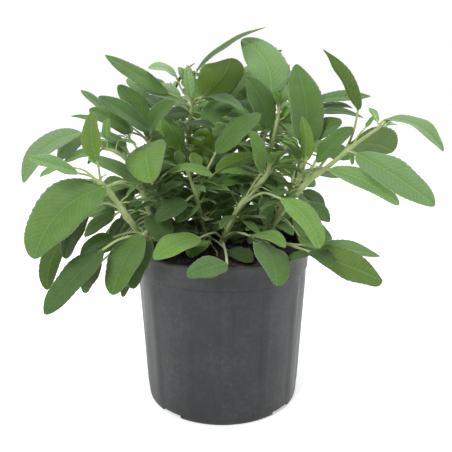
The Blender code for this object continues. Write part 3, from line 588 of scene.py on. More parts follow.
def leaf_blade(blade, tone):
    """A blade as one closed skin, with the marks its finish reads."""
    rows = max(12, round(blade.length / ROW_LONG))
    columns = 16 if blade.width > BROAD else 10
    shape = bmesh.new()
    marks, tones = (shape.verts.layers.float_vector.new(word) for word in ("blade", "tone"))
    bmesh.ops.create_grid(shape, x_segments=rows, y_segments=2 * columns, size=1)
    for face in shape.faces:
        face.material_index = LEAF_TOP if face.calc_center_median().y < 0 else LEAF_UNDER
        face.smooth = True
    offset = VEIN_STEP * round(blade.seed * 4)
    for v in shape.verts:
        s = (v.co.x + 1) / 2
        t = 0.65 * s + 0.35 * (0.5 - 0.5 * math.cos(math.pi * s))
        ring = (v.co.y + 1) * columns
        skin = 1 if ring <= columns + 1e-4 else -1
        u = max(-1, min(1, -1 + 2 * ring / columns if skin > 0 else 3 - 2 * ring / columns))
        v[marks] = (u * blade.half_width(t), t * blade.length + offset, u)
        v[tones] = tone
        v.co = blade.spot(t, u, skin) * MM
    bmesh.ops.remove_doubles(shape, verts=shape.verts, dist=2e-6)
    bmesh.ops.recalc_face_normals(shape, faces=shape.faces)
    return shape


def down_on(roots, longest):
    """Fine pale hairs, each rooted at a point and leaning its own way."""
    shape = bmesh.new()
    for root, way in roots:
        length = draw.uniform(0.45, 1) * longest
        turn = way.to_track_quat("Z", "Y").to_matrix().to_4x4()
        spot = Matrix.Translation((root + way.normalized() * length * 0.4) * MM)
        bmesh.ops.create_cone(shape, cap_ends=True, segments=3, radius1=HAIR * MM, radius2=0,
                              depth=length * MM, matrix=spot @ turn)
    for face in shape.faces:
        face.material_index = DOWN
    return shape


def leaf_down(blade):
    """Down along a blade's rim and on its petiole side."""
    roots = []
    for _ in range(round(blade.length * RIM_HAIRS)):
        t, u = draw.uniform(0.03, 0.99), draw.choice((-1, 1))
        here, inner = blade.spot(t, u, 1), blade.spot(t, u * 0.9, 1)
        way = (here - inner).normalized() + blade.along(t) * draw.uniform(0, 0.8)
        roots.append((here, way + blade.face * draw.uniform(-0.5, 0.5)))
    return down_on(roots, 0.55)


def stem_down(line, radii):
    """Down all round a stem or petiole, above the soil."""
    roots = []
    for k in range(len(line) - 1):
        for _ in range(round((line[k + 1] - line[k]).length * STEM_HAIRS)):
            way = (line[k + 1] - line[k]).normalized()
            out = Vector((draw.gauss(0, 1), draw.gauss(0, 1), draw.gauss(0, 1)))
            out = (out - way * out.dot(way)).normalized()
            point = line[k].lerp(line[k + 1], draw.random())
            if point.z > SOIL_TOP + 2:
                roots.append((point + out * radii[k] * 0.95, out + way * draw.uniform(-0.2, 0.7)))
    return down_on(roots, 0.6)


# How far a leaf may be off its wish: turns and rises in degrees for a leaf by rule, and shifts and leans
# in mm for a listed one
SWINGS, RISES = (0, 9, -9, 18, -18, 27, -27, 38, -38, 50, -50), (0, 10, -10, 20)
SHIFTS = [0] + [way * step for step in (5, 10, 15, 20, 26, 32, 40, 48, 56) for way in (-1, 1)]
LEANS = (0, 10, -10)
# Within how many mm a tip counts as on a corner of its solid, and a tip or a middle as in the solid
ON_CORNER, TIP_IN, MIDDLE_IN = 0.05, 1.0, 0.75


def moved(mark, back):
    """The point of a sight mark moved some mm back."""
    return place((*mark[:2], mark[2] + back))


def placings(leaf):
    """The places a leaf may have, as base, tip and petiole bend. One by rule turns about its node, and a
    listed one moves back or forth."""
    node_at, base, tip = leaf[:3]
    if leaf[4] is None:
        axis = (tip - node_at).cross(UP).normalized()
        for swing in SWINGS:
            for rise in RISES:
                turn = Matrix.Rotation(math.radians(swing), 3, "Z")
                turn = turn @ Matrix.Rotation(math.radians(rise), 3, axis)
                yield node_at + turn @ (base - node_at), node_at + turn @ (tip - node_at), None
        return
    via = next((extra for extra in leaf[8:] if isinstance(extra, tuple)), None)
    for shift in SHIFTS:
        for lean in LEANS:
            bend = via and moved(via, shift * 0.4)
            yield moved(base, shift * 0.6), moved(tip, shift + lean), bend


def blade_of(leaf, corners, skin, seed):
    """The blade of a leaf where its solid lies. Its tip is one of the solid's corners, or else both its tip
    and its middle lie in the solid."""
    by_rule = leaf[4] is None
    for buried in (False, True):
        for base, tip, bend in placings(leaf):
            off = skin.find_nearest(tip * MM)[3] if buried else corners.find(tip * MM)[2]
            if off > (TIP_IN if buried else ON_CORNER) * MM:
                continue
            if by_rule:
                arch, sweep, roll = leaf[5], 0, math.radians(leaf[6] * 100)
            else:
                arch, sweep, roll = leaf[5] / 100, leaf[6] / 100, roll_for(base, tip, leaf[3], leaf[4])
            blade = Blade(base, tip, leaf[3], arch, sweep, roll, math.radians(leaf[7]), seed)
            if "blunt" in leaf:
                blade.sharp = 0
            middle = [blade.midrib(t) * MM for t in (0.3, 0.5, 0.7)]
            if not buried or all(skin.find_nearest(spot)[3] < MIDDLE_IN * MM for spot in middle):
                return blade, bend
    return None, None


# How light, how yellow and how grey a leaf is. The lightness is partly the leaf's own tone and partly
# painted light and shade, lighter for a leaf that stands in light and darker for one in shade
TONES = {
    "mid": (0.95, 0.15, 0.15), "bright": (1.22, 0.35, 0.05), "fresh": (1.42, 0.35, 0.1),
    "sunny": (1.65, 0.4, 0.05), "lime": (1.6, 0.8, 0.0), "olive": (0.85, 0.6, 0.0),
    "silver": (1.5, 0.05, 0.7), "pale": (1.42, 0.15, 0.6), "frost": (1.55, 0.1, 0.9),
    "bare": (2.2, 0.1, 0.7), "young": (2.0, 0.2, 1.0), "grey": (1.0, 0.0, 0.8), "soft": (0.82, 0.15, 0.1),
    "under": (0.85, 0.05, 0.0), "shaded": (0.74, 0.05, 0.25), "dark": (0.5, 0.0, 0.35),
}


def tone_for(word):
    """A word's tone, a little different each time."""
    light, yellow, grey = TONES[word]
    return light * draw.uniform(0.9, 1.1), max(0, yellow + draw.uniform(-0.1, 0.1)), grey


def tone_of(leaf):
    """A leaf's tone, by its own word if it has one."""
    if leaf[4] is None:
        return tone_for(draw.choice(("mid", "mid", "bright", "grey")))
    return tone_for(next((extra for extra in leaf[8:] if extra in TONES), "mid"))


# The near stems. Each has marks with a radius in mm, and then its leaves. A leaf has the step of the stem's
# line where it grows, its base and tip marks, width in mm, columns of width it shows (negative where its
# underside shows), arch and sweep in hundredths of its length, fold in degrees, at times a mark that its
# petiole passes, its tone, and "blunt" where it doesn't taper.
STEMS = {}
STEMS["stem_front"] = [
    (222, 246, 10, 3.2), (228, 229, -2, 3), (239, 208, -13, 2.9), (255, 189, -14, 2.8), (268, 172, -8, 2.7),
    (271, 150, 2, 2.5), (277, 122, 8, 2.1), (280, 106, 8, 1.5)
], [
    (3, (199, 238, -45), (154, 260, -82), 27, 23, 8, 2, 10, "fresh"),
    (4, (251, 236, -42), (285, 247, -72), 20, 12, 10, 5, 14, "fresh"),
    (2, (227, 264, -93), (187, 276, -110), 24, 22, 6, 0, 8, (226, 254, -60), "shaded"),
    (4, (262, 243, -48), (277, 286, -108), 34, 31, 8, 0, 8),
    (18, (282, 199, -65), (320, 248, -100), 27, 23, 10, 4, 12, (262, 193, -40), "fresh"),
    (19, (262, 172, -30), (251, 131, -45), 18, 15, 5, 0, 15, (253, 185, -20), "bright"),
    (25, (262, 197, -8), (266, 227, -14), 18, 16, 5, 5, 10, "shaded"),
    (29, (254, 180, 2), (214, 187, 2), 18, 13, 8, 5, 12),
    (56, (279, 104, 6), (273, 91, 2), 10, 8, 5, 0, 20, "sunny"),
    (56, (281, 104, 11), (286, 90, 16), 9, 6, 5, 0, 20, "bright"),
    (49, (284, 118, 12), (292, 104, 22), 11, 8, 8, 0, 15, "sunny"),
]
STEMS["stem_right"] = [
    (256, 250, 14, 3.8), (268, 233, 2, 3.6), (283, 209, -10, 3.5), (294, 195, -18, 3.2),
    (312, 178, -30, 2.8), (330, 165, -42, 2.4), (350, 148, -52, 1.9), (368, 135, -60, 1.5),
    (381, 126, -65, 1.1)
], [
    (63, (385, 120, -68), (443, 152, -100), 24, 14, 16, 0, 14, "silver"),
    (47, (357, 154, -58), (435, 206, -95), 34, 31, 4, 0, 10, "silver", "blunt"),
    (35, (330, 170, -48), (399, 205, -76), 25, 21, 5, 5, 14, "bare", "blunt"),
    (48, (349, 145, -44), (393, 152, -8), 41, -33, 4, 6, 8, "under"),
    (29, (316, 161, -32), (353, 127, -44), 23, 18, 5, -2, 12),
    (47, (358, 110, -22), (323, 49, -45), 22, -14, 4, 2, 15, (354, 130, -34)),
    (50, (366, 127, -48), (374, 116, -46), 6, 5, 0, 0, 10, "bright"),
    (48, (351, 153, -52), (352, 165, -54), 7, 5, 5, 0, 10, "bright"),
    (24, (303, 193, 6), (326, 209, 14), 17, 12, 8, 4, 10, "dark"),
    (21, (304, 205, -22), (330, 222, -32), 20, 16, 8, 2, 10, "shaded"),
    (5, (303, 245, -44), (380, 256, -86), 27, 13, 4, -3, 16, (284, 243, -20), "pale"),
    (4, (314, 253, -60), (383, 281, -92), 33, -29, 5, -3, 8, (286, 244, -30), "soft"),
    (3, (288, 260, -64), (312, 253, -66), 14, 9, 5, 0, 10, "shaded"),
    (17, (306, 226, 22), (332, 240, 26), 19, 14, 8, 0, 10, "shaded"),
    (5, (310, 252, -74), (334, 263, -98), 16, 13, 5, 3, 8, (286, 243, -34), "dark"),
    (19, (296, 214, 6), (302, 240, 10), 20, 16, 8, 0, 10),
]
STEMS["stem_upright"] = [
    (250, 246, 27, 3.1), (272, 222, 14, 3), (288, 196, 0, 2.8), (298, 172, -8, 2.4), (302, 155, -10, 2.2),
    (303, 140, -8, 1.9), (301, 122, -2, 1.6), (299, 108, 2, 1.2)
], [
    (34, (307, 147, -18), (297, 64, 10), 37, 35, 5, 2, 8, "blunt"),
    (29, (305, 161, -24), (302, 116, -40), 17, -14, 5, 2, 10, "bright"),
    (41, (312, 139, -4), (341, 119, 6), 23, 19, 8, 0, 10),
    (51, (314, 101, 6), (371, 96, 12), 18, 11, 3, 0, 14),
    (48, (316, 109, 8), (353, 108, 12), 13, 7, 8, 0, 12),
    (45, (318, 113, 18), (364, 118, 24), 14, 7, 8, 0, 12),
    (36, (297, 148, 4), (281, 139, 14), 15, 12, 8, 0, 10, "sunny"),
    (28, (296, 163, 4), (278, 164, 14), 16, 13, 8, 0, 10, "sunny"),
    (13, (275, 205, 16), (273, 190, 26), 18, 15, 6, 0, 10, "bright"),
    (56, (298, 105, 5), (294, 92, 12), 10, 8, 5, 0, 20),
    (56, (301, 105, 2), (306, 93, 4), 10, 8, 5, 0, 20),
]
STEMS["stem_centre"] = [
    (234, 247, 34, 3.2), (239, 220, 34, 3), (248, 190, 32, 2.6), (258, 160, 28, 2.4), (266, 130, 24, 2.1),
    (270, 108, 20, 1.7), (271, 98, 18, 1.5)
], [
    (47, (271, 94, 12), (242, 39, 48), 40, 38, 5, 13, 8, "pale"),
    (32, (266, 129, 0), (245, 77, 4), 28, 25, 5, 10, 10, "shaded", "blunt"),
    (37, (281, 122, 28), (298, 138, 26), 16, 12, 10, 0, 10, "bright"),
    (26, (276, 165, 20), (297, 176, 16), 18, 14, 10, 0, 10, "sunny"),
    (24, (243, 158, 22), (219, 168, 14), 20, 15, 10, 0, 10, "sunny"),
    (33, (252, 120, 40), (232, 100, 55), 26, 20, 10, 0, 10, "shaded"),
    (47, (276, 92, 34), (285, 64, 62), 26, 20, 10, 0, 10, "bright"),
    (11, (232, 210, 50), (206, 190, 62), 28, 23, 6, 0, 10, "bright"),
    (13, (252, 200, 50), (279, 178, 62), 28, 22, 6, 0, 10, "bright"),
    (11, (248, 222, 46), (276, 212, 60), 26, 21, 6, 0, 10, "shaded"),
    (6, (232, 224, 44), (222, 206, 50), 20, 16, 6, 0, 10, "sunny"),
    (19, (257, 178, 46), (277, 158, 60), 24, 18, 6, 0, 10, "sunny"),
]
STEMS["stem_high"] = [
    (200, 243, 38, 3.2), (196, 205, 38, 3), (191, 170, 36, 2.6), (188, 148, 32, 2.4), (190, 122, 26, 2.1),
    (192, 105, 22, 1.8), (192, 92, 20, 1.4), (190, 82, 18, 1)
], [
    (41, (202, 97, 8), (231, 58, -14), 43, -41, 8, 13, 8, "olive"),
    (45, (197, 70, 30), (265, 27, 42), 17, 5, 5, 3, 12, "shaded"),
    (38, (168, 93, 12), (105, 55, -2), 21, 16, 2, -3, 6),
    (43, (176, 76, 18), (148, 68, 12), 18, 9, 12, 5, 15, (182, 90, 20), "young"),
    (45, (184, 80, 16), (178, 67, 14), 12, 8, 8, 0, 15, "young"),
    (54, (190, 80, 18), (187, 65, 18), 9, 6, 5, 0, 18, "young"),
    (54, (192, 84, 19), (196, 74, 19), 8, 6, 5, 0, 18, "young"),
    (39, (184, 104, 16), (134, 85, 2), 21, 14, 5, 0, 15, "frost"),
    (41, (202, 98, 0), (243, 111, -22), 21, 9, 13, 0, 10, "grey"),
    (32, (201, 119, 18), (233, 106, 14), 27, 21, 6, 0, 10),
    (29, (181, 127, 6), (215, 127, -14), 17, 7, 10, 0, 8, "dark"),
    (34, (189, 113, 20), (162, 117, 12), 18, 12, 8, 0, 10, "dark"),
    (20, (203, 158, 26), (205, 130, 34), 30, 27, 6, 0, 16, "lime"),
    (24, (180, 150, 12), (161, 116, 16), 22, 19, 5, 3, 10, "sunny"),
    (18, (184, 168, 44), (163, 140, 50), 26, 22, 6, 0, 10, "sunny"),
    (28, (200, 141, 38), (234, 128, 44), 24, 18, 8, 0, 10, "sunny"),
    (41, (216, 99, 26), (256, 72, 38), 30, 23, 8, 0, 10),
    (41, (180, 97, 40), (150, 84, 58), 17, 9, 8, 0, 10, "frost"),
    (9, (188, 208, 50), (164, 190, 62), 28, 23, 6, 0, 10, "bright"),
    (5, (202, 222, 30), (216, 200, 22), 20, 16, 6, 0, 10, "shaded"),
    (7, (206, 205, 52), (233, 188, 66), 26, 21, 6, 0, 10, "bright"),
    (17, (200, 172, 50), (226, 150, 64), 26, 20, 6, 0, 10),
]
STEMS["stem_left"] = [
    (188, 247, 22, 3.2), (170, 232, 4, 3.2), (152, 216, -13, 3), (143, 192, -19, 2.8), (133, 166, -22, 2.4),
    (116, 152, -23, 2), (102, 148, -22, 1.5)
], [
    (26, (106, 187, -72), (34, 259, -98), 49, 49, 8, 12, 8, (122, 182, -50)),
    (48, (81, 133, -30), (23, 183, -52), 26, 21, 12, 9, 14, "frost"),
    (48, (84, 136, -16), (57, 160, -20), 21, 17, 6, 0, 8, "frost"),
    (48, (98, 152, -30), (64, 162, -40), 14, 9, 8, 0, 12, "pale"),
    (28, (137, 181, -27), (88, 158, -42), 19, 14, 6, 0, 12, "pale"),
    (35, (126, 147, -14), (97, 133, -4), 15, 10, 6, 0, 12, "pale"),
    (37, (123, 153, -14), (97, 142, -8), 13, 8, 6, 0, 12, "pale"),
    (18, (152, 215, -32), (165, 244, -50), 30, 27, 6, 0, 8, "shaded"),
    (24, (134, 198, -6), (112, 196, 6), 20, 15, 10, 0, 10, "dark"),
    (17, (140, 214, 0), (118, 222, 10), 20, 15, 10, 0, 10, "shaded"),
    (21, (156, 208, -4), (140, 232, 4), 20, 16, 8, 0, 10, "dark"),
    (13, (152, 232, 8), (120, 232, 14), 18, 14, 8, 0, 10, "dark"),
    (41, (119, 140, -22), (137, 145, -28), 6, 4, 10, 0, 10, "pale"),
]
STEMS["stem_low_left"] = [
    (178, 250, 10, 3.8), (157, 242, -15, 3.7), (140, 232, -36, 3.5), (125, 214, -54, 3.2),
    (108, 190, -66, 2.6), (98, 181, -70, 2)
], [
    (40, (77, 173, -76), (28, 158, -88), 20, 14, 3, -2, 18, "pale"),
    (41, (62, 167, -60), (40, 177, -64), 12, 7, 8, 0, 12, "pale"),
    (39, (97, 161, -72), (93, 112, -62), 19, 19, 4, -6, 8, "olive"),
    (27, (88, 212, -78), (65, 259, -92), 24, 21, 6, -4, 12, (104, 203, -72), "dark"),
    (26, (114, 216, -48), (84, 236, -44), 18, 14, 8, 0, 12),
    (32, (67, 233, -60), (47, 290, -70), 24, -21, 8, -5, 8, "shaded"),
    (24, (124, 219, -26), (110, 238, -30), 14, 11, 8, 0, 10, "dark"),
]
STEMS["stem_skirt"] = [
    (184, 253, 4, 2.6), (166, 244, -20, 2.5), (152, 236, -40, 2.3), (143, 234, -52, 2)
], [
    (20, (142, 235, -62), (112, 295, -98), 33, 31, 6, -3, 8, "soft"),
    (17, (150, 241, -52), (133, 289, -80), 30, 26, 8, -5, 8, "shaded"),
    (15, (142, 258, -50), (122, 297, -68), 18, 14, 8, 0, 10, "shaded"),
    (24, (102, 250, -82), (44, 314, -108), 29, 27, 5, -2, 12, (120, 239, -70), "shaded"),
    (22, (101, 262, -58), (84, 293, -66), 21, 16, 8, 0, 10, "shaded"),
    (22, (113, 237, -54), (80, 257, -58), 20, 15, 10, 0, 12),
]
STEMS["stem_inner"] = [
    (208, 247, 14, 2.4), (203, 225, 3, 2.3), (197, 199, -9, 2.1), (190, 178, -17, 1.8), (185, 167, -20, 1.4)
], [
    (18, (186, 201, -30), (156, 221, -48), 23, 20, 8, 0, 8, "dark"),
    (28, (197, 168, -14), (194, 152, -4), 16, 14, 5, 0, 10, "bright"),
    (32, (180, 166, -16), (178, 150, -12), 16, 13, 5, 0, 10),
    (18, (216, 152, -22), (261, 114, -26), 26, 22, 5, 0, 10, (208, 168, -16)),
    (17, (216, 172, -4), (254, 155, -6), 22, -17, 6, 0, 8, "sunny"),
    (20, (202, 186, -10), (220, 180, -6), 15, 12, 8, 0, 10),
    (10, (194, 207, -2), (183, 221, -6), 15, 12, 6, 0, 10),
    (6, (222, 221, 19), (243, 242, 14), 24, 19, 5, 0, 8, "shaded"),
    (3, (203, 241, -14), (192, 258, -42), 23, 19, 8, 0, 8, "sunny"),
    (3, (228, 251, -22), (252, 262, -60), 22, 16, 8, 0, 8, "dark"),
    (6, (207, 232, 12), (222, 224, 12), 13, 10, 5, 0, 8, "sunny"),
]
STEMS["stem_slope"] = [
    (202, 247, 30, 3.2), (182, 222, 18, 3.1), (164, 200, 5, 2.9), (154, 182, 0, 2.6), (150, 158, 2, 2.2),
    (151, 138, 5, 1.8)
], [
    (41, (149, 144, -4), (151, 183, -50), 39, 41, 12, 0, 8, "bright"),
    (41, (150, 129, 2), (118, 85, -4), 27, 22, 5, 0, 10),
    (41, (150, 131, -4), (98, 97, -16), 24, 18, 2, 0, 14, "shaded"),
    (41, (151, 130, -12), (176, 102, -22), 21, 16, 10, 6, 18, "shaded"),
    (39, (131, 132, -4), (89, 110, -14), 27, 20, 6, 0, 12),
    (33, (159, 147, -6), (146, 127, -2), 18, 15, 6, 0, 10, "bright"),
    (41, (158, 109, 14), (143, 96, 16), 20, 15, 8, 0, 10),
    (39, (112, 119, 14), (81, 90, 10), 17, 9, 2, 0, 12, "pale"),
    (38, (114, 122, 22), (71, 116, 22), 12, 6, 2, 0, 10),
    (41, (146, 102, 24), (128, 78, 30), 20, 15, 8, 0, 10, "pale"),
    (14, (172, 200, 25), (178, 172, 40), 26, 22, 6, 0, 10, "sunny"),
    (21, (166, 173, -22), (213, 176, -38), 19, 10, 14, 0, 10, "bright"),
]


def aim(turn, rise):
    """The direction at an angle round and an angle up."""
    return Vector((math.cos(turn) * math.cos(rise), math.sin(turn) * math.cos(rise), math.sin(rise)))


def shoot(root, heading, reach, height, levels, seed):
    """A stem of the plant's far side by rule: leaf pairs, each pair square to the one below. A leaf has its
    node, base, tip and width, None for the columns it shows, arch, a hundredth of its roll, and fold."""
    chance = random.Random(seed)
    out = Vector((math.cos(math.radians(heading)), math.sin(math.radians(heading)), 0))
    foot = Vector((root[0], root[1], SOIL_TOP))

    def spine(t):
        return foot + out * (reach * t ** 1.4) + UP * (height * (t - 0.12 * t * t) + 2)

    marks = [(spine(k / 5), 2.7 - 1.5 * (k / 5)) for k in range(6)]
    leaves = []
    for k in range(levels):
        node_at = spine(0.22 + 0.76 * k / (levels - 1))
        length = 72 - 34 * (k / (levels - 1)) ** 1.5 + chance.uniform(-6, 6)
        for side in (0, 180):
            turn = math.radians(heading + 40 + 90 * k + side + chance.uniform(-14, 14))
            rise = math.radians(-2 + 42 * k / (levels - 1) + chance.uniform(-9, 9))
            way = (aim(turn, rise) + out * 0.35).normalized()
            stalk_long = (24 if k < levels - 1 else 9) + chance.uniform(-3, 5)
            base = node_at + way * stalk_long + UP * 3
            tip = base + (way - UP * 0.12).normalized() * length
            leaves.append((node_at, base, tip, length * chance.uniform(0.36, 0.46), None,
                           chance.uniform(0.05, 0.12), chance.uniform(-0.15, 0.15), chance.uniform(8, 16)))
    return marks, leaves


# The stems of the far side: root, heading in degrees, reach and height in mm, leaf pairs and seed
SHOOTS = {
    "stem_back_right": ((30, 44), 47, 78, 128, 4, 385),
    "stem_back_tall": ((14, 56), 74, 70, 172, 5, 381),
    "stem_back": ((-6, 60), 96, 86, 128, 4, 349),
    "stem_back_high": ((-26, 52), 116, 66, 160, 5, 208),
    "stem_back_left": ((-42, 38), 138, 80, 112, 4, 34),
    "stem_back_low": ((4, 40), 84, 34, 50, 3, 13),
}
for name, rule in SHOOTS.items():
    STEMS[name] = shoot(*rule)


def leaf_skin(name, upper):
    """The finish of one face of a blade: pebbled green with paler veins and rim, and light through it."""
    made, tree, shader = finish_of(name, 0.6)
    if upper:
        green, deep, lemon = (0.108, 0.238, 0.036), (0.070, 0.170, 0.026), (0.200, 0.310, 0.020)
        ash, pale = (0.140, 0.198, 0.113), (0.230, 0.350, 0.115)
        vein_start, vein_pale, rib_pale, vein_rise, shine, sheen = 0.36, 0.26, 0.4, -0.5, 0.3, 0.22
    else:
        green, deep, lemon = (0.140, 0.240, 0.056), (0.105, 0.195, 0.042), (0.210, 0.310, 0.030)
        ash, pale = (0.160, 0.220, 0.120), (0.250, 0.345, 0.125)
        vein_start, vein_pale, rib_pale, vein_rise, shine, sheen = 0.41, 0.6, 0.75, 0.6, 0.15, 0.06
    blade = mark_of(tree, "blade")
    x, y, u = split(tree, blade)
    light, yellow, grey = split(tree, mark_of(tree, "tone"))
    off_rib, edge = sums(tree, "ABSOLUTE", x), sums(tree, "ABSOLUTE", u)
    slant = sums(tree, "SUBTRACT", y, times(tree, off_rib, VEIN_SLANT))
    phase = sums(tree, "FRACT", sums(tree, "DIVIDE", slant, VEIN_STEP))
    off_vein = sums(tree, "ABSOLUTE", sums(tree, "SUBTRACT", phase, 0.5))
    vein = ramp(tree, off_vein, vein_start, 0.5)
    vein = times(tree, vein, ramp(tree, edge, 0.7, 1.0, 1.0, 0.0))
    rib = ramp(tree, off_rib, 0.2, 0.75, 1.0, 0.0)
    rim = ramp(tree, edge, 0.92, 1.0)
    cells = node(tree, "TexVoronoi", {"Vector": blade, "Scale": 0.8}, feature="SMOOTH_F1",
                 voronoi_dimensions="2D").outputs["Distance"]
    groove = ramp(tree, cells, 0.2, 0.6)
    mottle = ramp(tree, grain(tree, blade, 0.09, 3), 0.3, 0.7)
    tint = dye(tree, mottle, deep, green)
    tint = dye(tree, yellow, tint, lemon)
    bloom = ramp(tree, grain(tree, blade, 0.045, 2), 0.42, 0.62, 0.0, 0.4)
    tint = dye(tree, sums(tree, "MAXIMUM", grey, bloom), tint, ash)
    # Painted shade: darker in the grooves between the pebbles and beside the midrib, the hollows of the blade
    tint = coats(tree, tint, (groove, 0.45, deep))
    tint = dye(tree, ramp(tree, off_rib, 0.5, 6.5, 0.4, 0.0), tint, deep)
    # The pale rim is partly the margin's own paler colour and partly a painted highlight along the edge
    tint = coats(tree, tint, (vein, vein_pale, pale), (rib, rib_pale, pale),
                 (rim, 0.8, (0.360, 0.460, 0.250)))
    # The tone's lightness scales each leaf's colour: painted light and shade
    lit = node(tree, "CombineColor", {0: light, 1: light, 2: light}).outputs[0]
    tint = dye(tree, 1.0, tint, lit, "MULTIPLY")
    fill(tree, shader, {"Base Color": tint, "Specular IOR Level": shine, "Sheen Weight": sheen,
                        "Sheen Roughness": 0.45, "Sheen Tint": (0.88, 1.0, 0.92)})
    rise = sums(tree, "ADD", times(tree, cells, -0.6), times(tree, vein, vein_rise))
    relief = relief_on(tree, shader, rise, 0.0004, 0.5)
    glow = node(tree, "BsdfTranslucent", {"Color": dye(tree, 0.55, tint, (0.42, 0.60, 0.05)),
                                          "Normal": relief.outputs["Normal"]})
    mixed = node(tree, "MixShader", {0: 0.24, 1: shader.outputs[0], 2: glow.outputs[0]})
    tree.links.new(mixed.outputs[0], tree.nodes["Material Output"].inputs["Surface"])
    return made


leaf_top = leaf_skin("sage_leaf_top", True)
leaf_under = leaf_skin("sage_leaf_under", False)

green_stem, tree, shader = finish_of("sage_stem", 0.6)
height = split(tree, mark_of(tree, "tone"))[1]
blade = mark_of(tree, "blade")
thread = grain(tree, node(tree, "Mapping", {"Vector": blade, "Scale": (1, 1, 0.08)}).outputs[0], 1.1, 3)
tint = dye(tree, ramp(tree, thread, 0.3, 0.7), (0.215, 0.285, 0.082), (0.350, 0.430, 0.175))
patch = ramp(tree, grain(tree, place_of(tree), 45, 3), 0.5, 0.7)
woody = times(tree, patch, ramp(tree, height, 1.0, 1.3, 0.4, 0.08))
tint = dye(tree, woody, tint, (0.200, 0.150, 0.075))
# Low down, among the leaves, the stems are paler: partly their own colour and partly painted light
# that lifts the shade there
tint = dye(tree, ramp(tree, height, 1.0, 1.35, 0.5, 0.0), tint, (0.460, 0.550, 0.230))
fill(tree, shader, {"Base Color": tint, "Sheen Weight": 0.35, "Sheen Roughness": 0.4})
relief_on(tree, shader, thread, 0.0002, 0.4)

down, tree, shader = finish_of("sage_down", 0.55)
tint = dye(tree, grain(tree, place_of(tree), 300), (0.50, 0.56, 0.42), (0.72, 0.76, 0.66))
fill(tree, shader, {"Base Color": tint})


def square_stem(angle, out):
    """A square section, soft at the corners."""
    return 0.98 + 0.05 * math.cos(4 * angle)


def grooved(top):
    """A round section with a groove along the top."""
    return lambda angle, out: 1 - 0.35 * max(0, out.dot(top)) ** 3


def sheets_of(blade, clear=0.9):
    """Two coarse sheets just above and below a blade, in metres, to feel for what is near it."""
    dots = [(blade.spot(t, u, way) + blade.face * way * clear) * MM
            for way in (1, -1) for t in (0.02, 0.25, 0.5, 0.75, 1) for u in (-1, 0, 1)]
    rows = [start + 3 * k for start in (0, 15) for k in range(4)]
    faces = [(n, n + 1, n + 4, n + 3) for row in rows for n in (row, row + 1)]
    return BVHTree.FromPolygons(dots, faces)


def has_room(blade, joint, owner):
    """Whether a small leaf touches nothing that has grown so far, and its petiole no other stem."""
    sheets = sheets_of(blade)
    if any(sheets.overlap(other) for other in taken):
        return False
    way = blade.base - joint
    return all(solid.ray_cast(joint * MM, way.normalized(), way.length * MM)[0] is None
               for name, solid in solids.items() if name != owner)


def small_leaf(whole, joint, base, tip, width, owner, tone, shown=0):
    """Grows a small leaf where there is room for one; shown is its width in columns as the eye sees it."""
    turn = math.radians(draw.uniform(-25, 25)) + (roll_for(base, tip, width, shown) if shown else 0)
    blade = Blade(base, tip, width, draw.uniform(0.04, 0.12), 0, turn, math.radians(draw.uniform(6, 16)),
                  draw.random())
    blade.radius = SMALL_PETIOLE + PETIOLE_MORE * width
    if min(base.z, tip.z) < SOIL_TOP + 3.5 or not has_room(blade, joint, owner):
        return False
    path = blade.stalk_line(joint)
    grow(whole, stalk(path, [blade.radius * 0.95] * len(path), 6, square_stem, GREEN_STEM))
    grow(whole, leaf_blade(blade, tone))
    taken.append(sheets_of(blade, 0.3))
    return True


def heading_off(joint, way, reach, length):
    """Base and tip of a small leaf that heads off from a joint."""
    base = joint + way.normalized() * reach
    return base, base + (way.normalized() - UP * draw.uniform(0, 0.25)).normalized() * length


def inner_shade_tone(height):
    """The tone of a leaf in the crowded middle, with painted shade: darker than an outer leaf, and lighter
    higher up.
    """
    return (draw.uniform(0.58, 1.0) + max(0, height - SOIL_TOP) * 0.006, draw.uniform(0, 0.4),
            draw.uniform(0.2, 0.5))


# How many young leaves a bud has, in the corner of a leaf of some width and at a stem's tip, and those that
# still stand furled at the tall shoot's tip, as marks of joint, base and tip with a width in mm
CORNER_WIDTH, CORNER_BUD, TIP_BUD = 12, 2, 7
FURLED = {"stem_high": [((192, 104, 19), (191, 97, 11), (187, 66, 10), 11),
                        ((191, 90, 20), (190, 79, 28), (167, 66, 32), 11)]}
# Thin bare shoots that rise beside a stem, with their radius at the foot and how much of it they lose
THIN_FOOT, THIN_LOSS = 1.5, 0.5
THIN_SHOOTS = {"stem_right": [
    [(293, 198, -18), (299, 179, -22), (305, 160, -24)], [(296, 197, -20), (307, 178, -28), (316, 160, -32)],
    [(291, 200, -16), (293, 176, -14), (298, 152, -8)], [(297, 196, -20), (303, 170, -25), (311, 146, -26)],
    [(301, 190, -23), (318, 169, -34), (333, 150, -40)],
]}

# The crowded middle of the bush, where small leaves grow: its half width, front, back and height above the
# soil in mm, and for each stem the tries and the most that grow
HALF_WIDE, FRONT, BACK, CROWN = 66, -45, 95, 128
TRIES, MOST = 320, 24

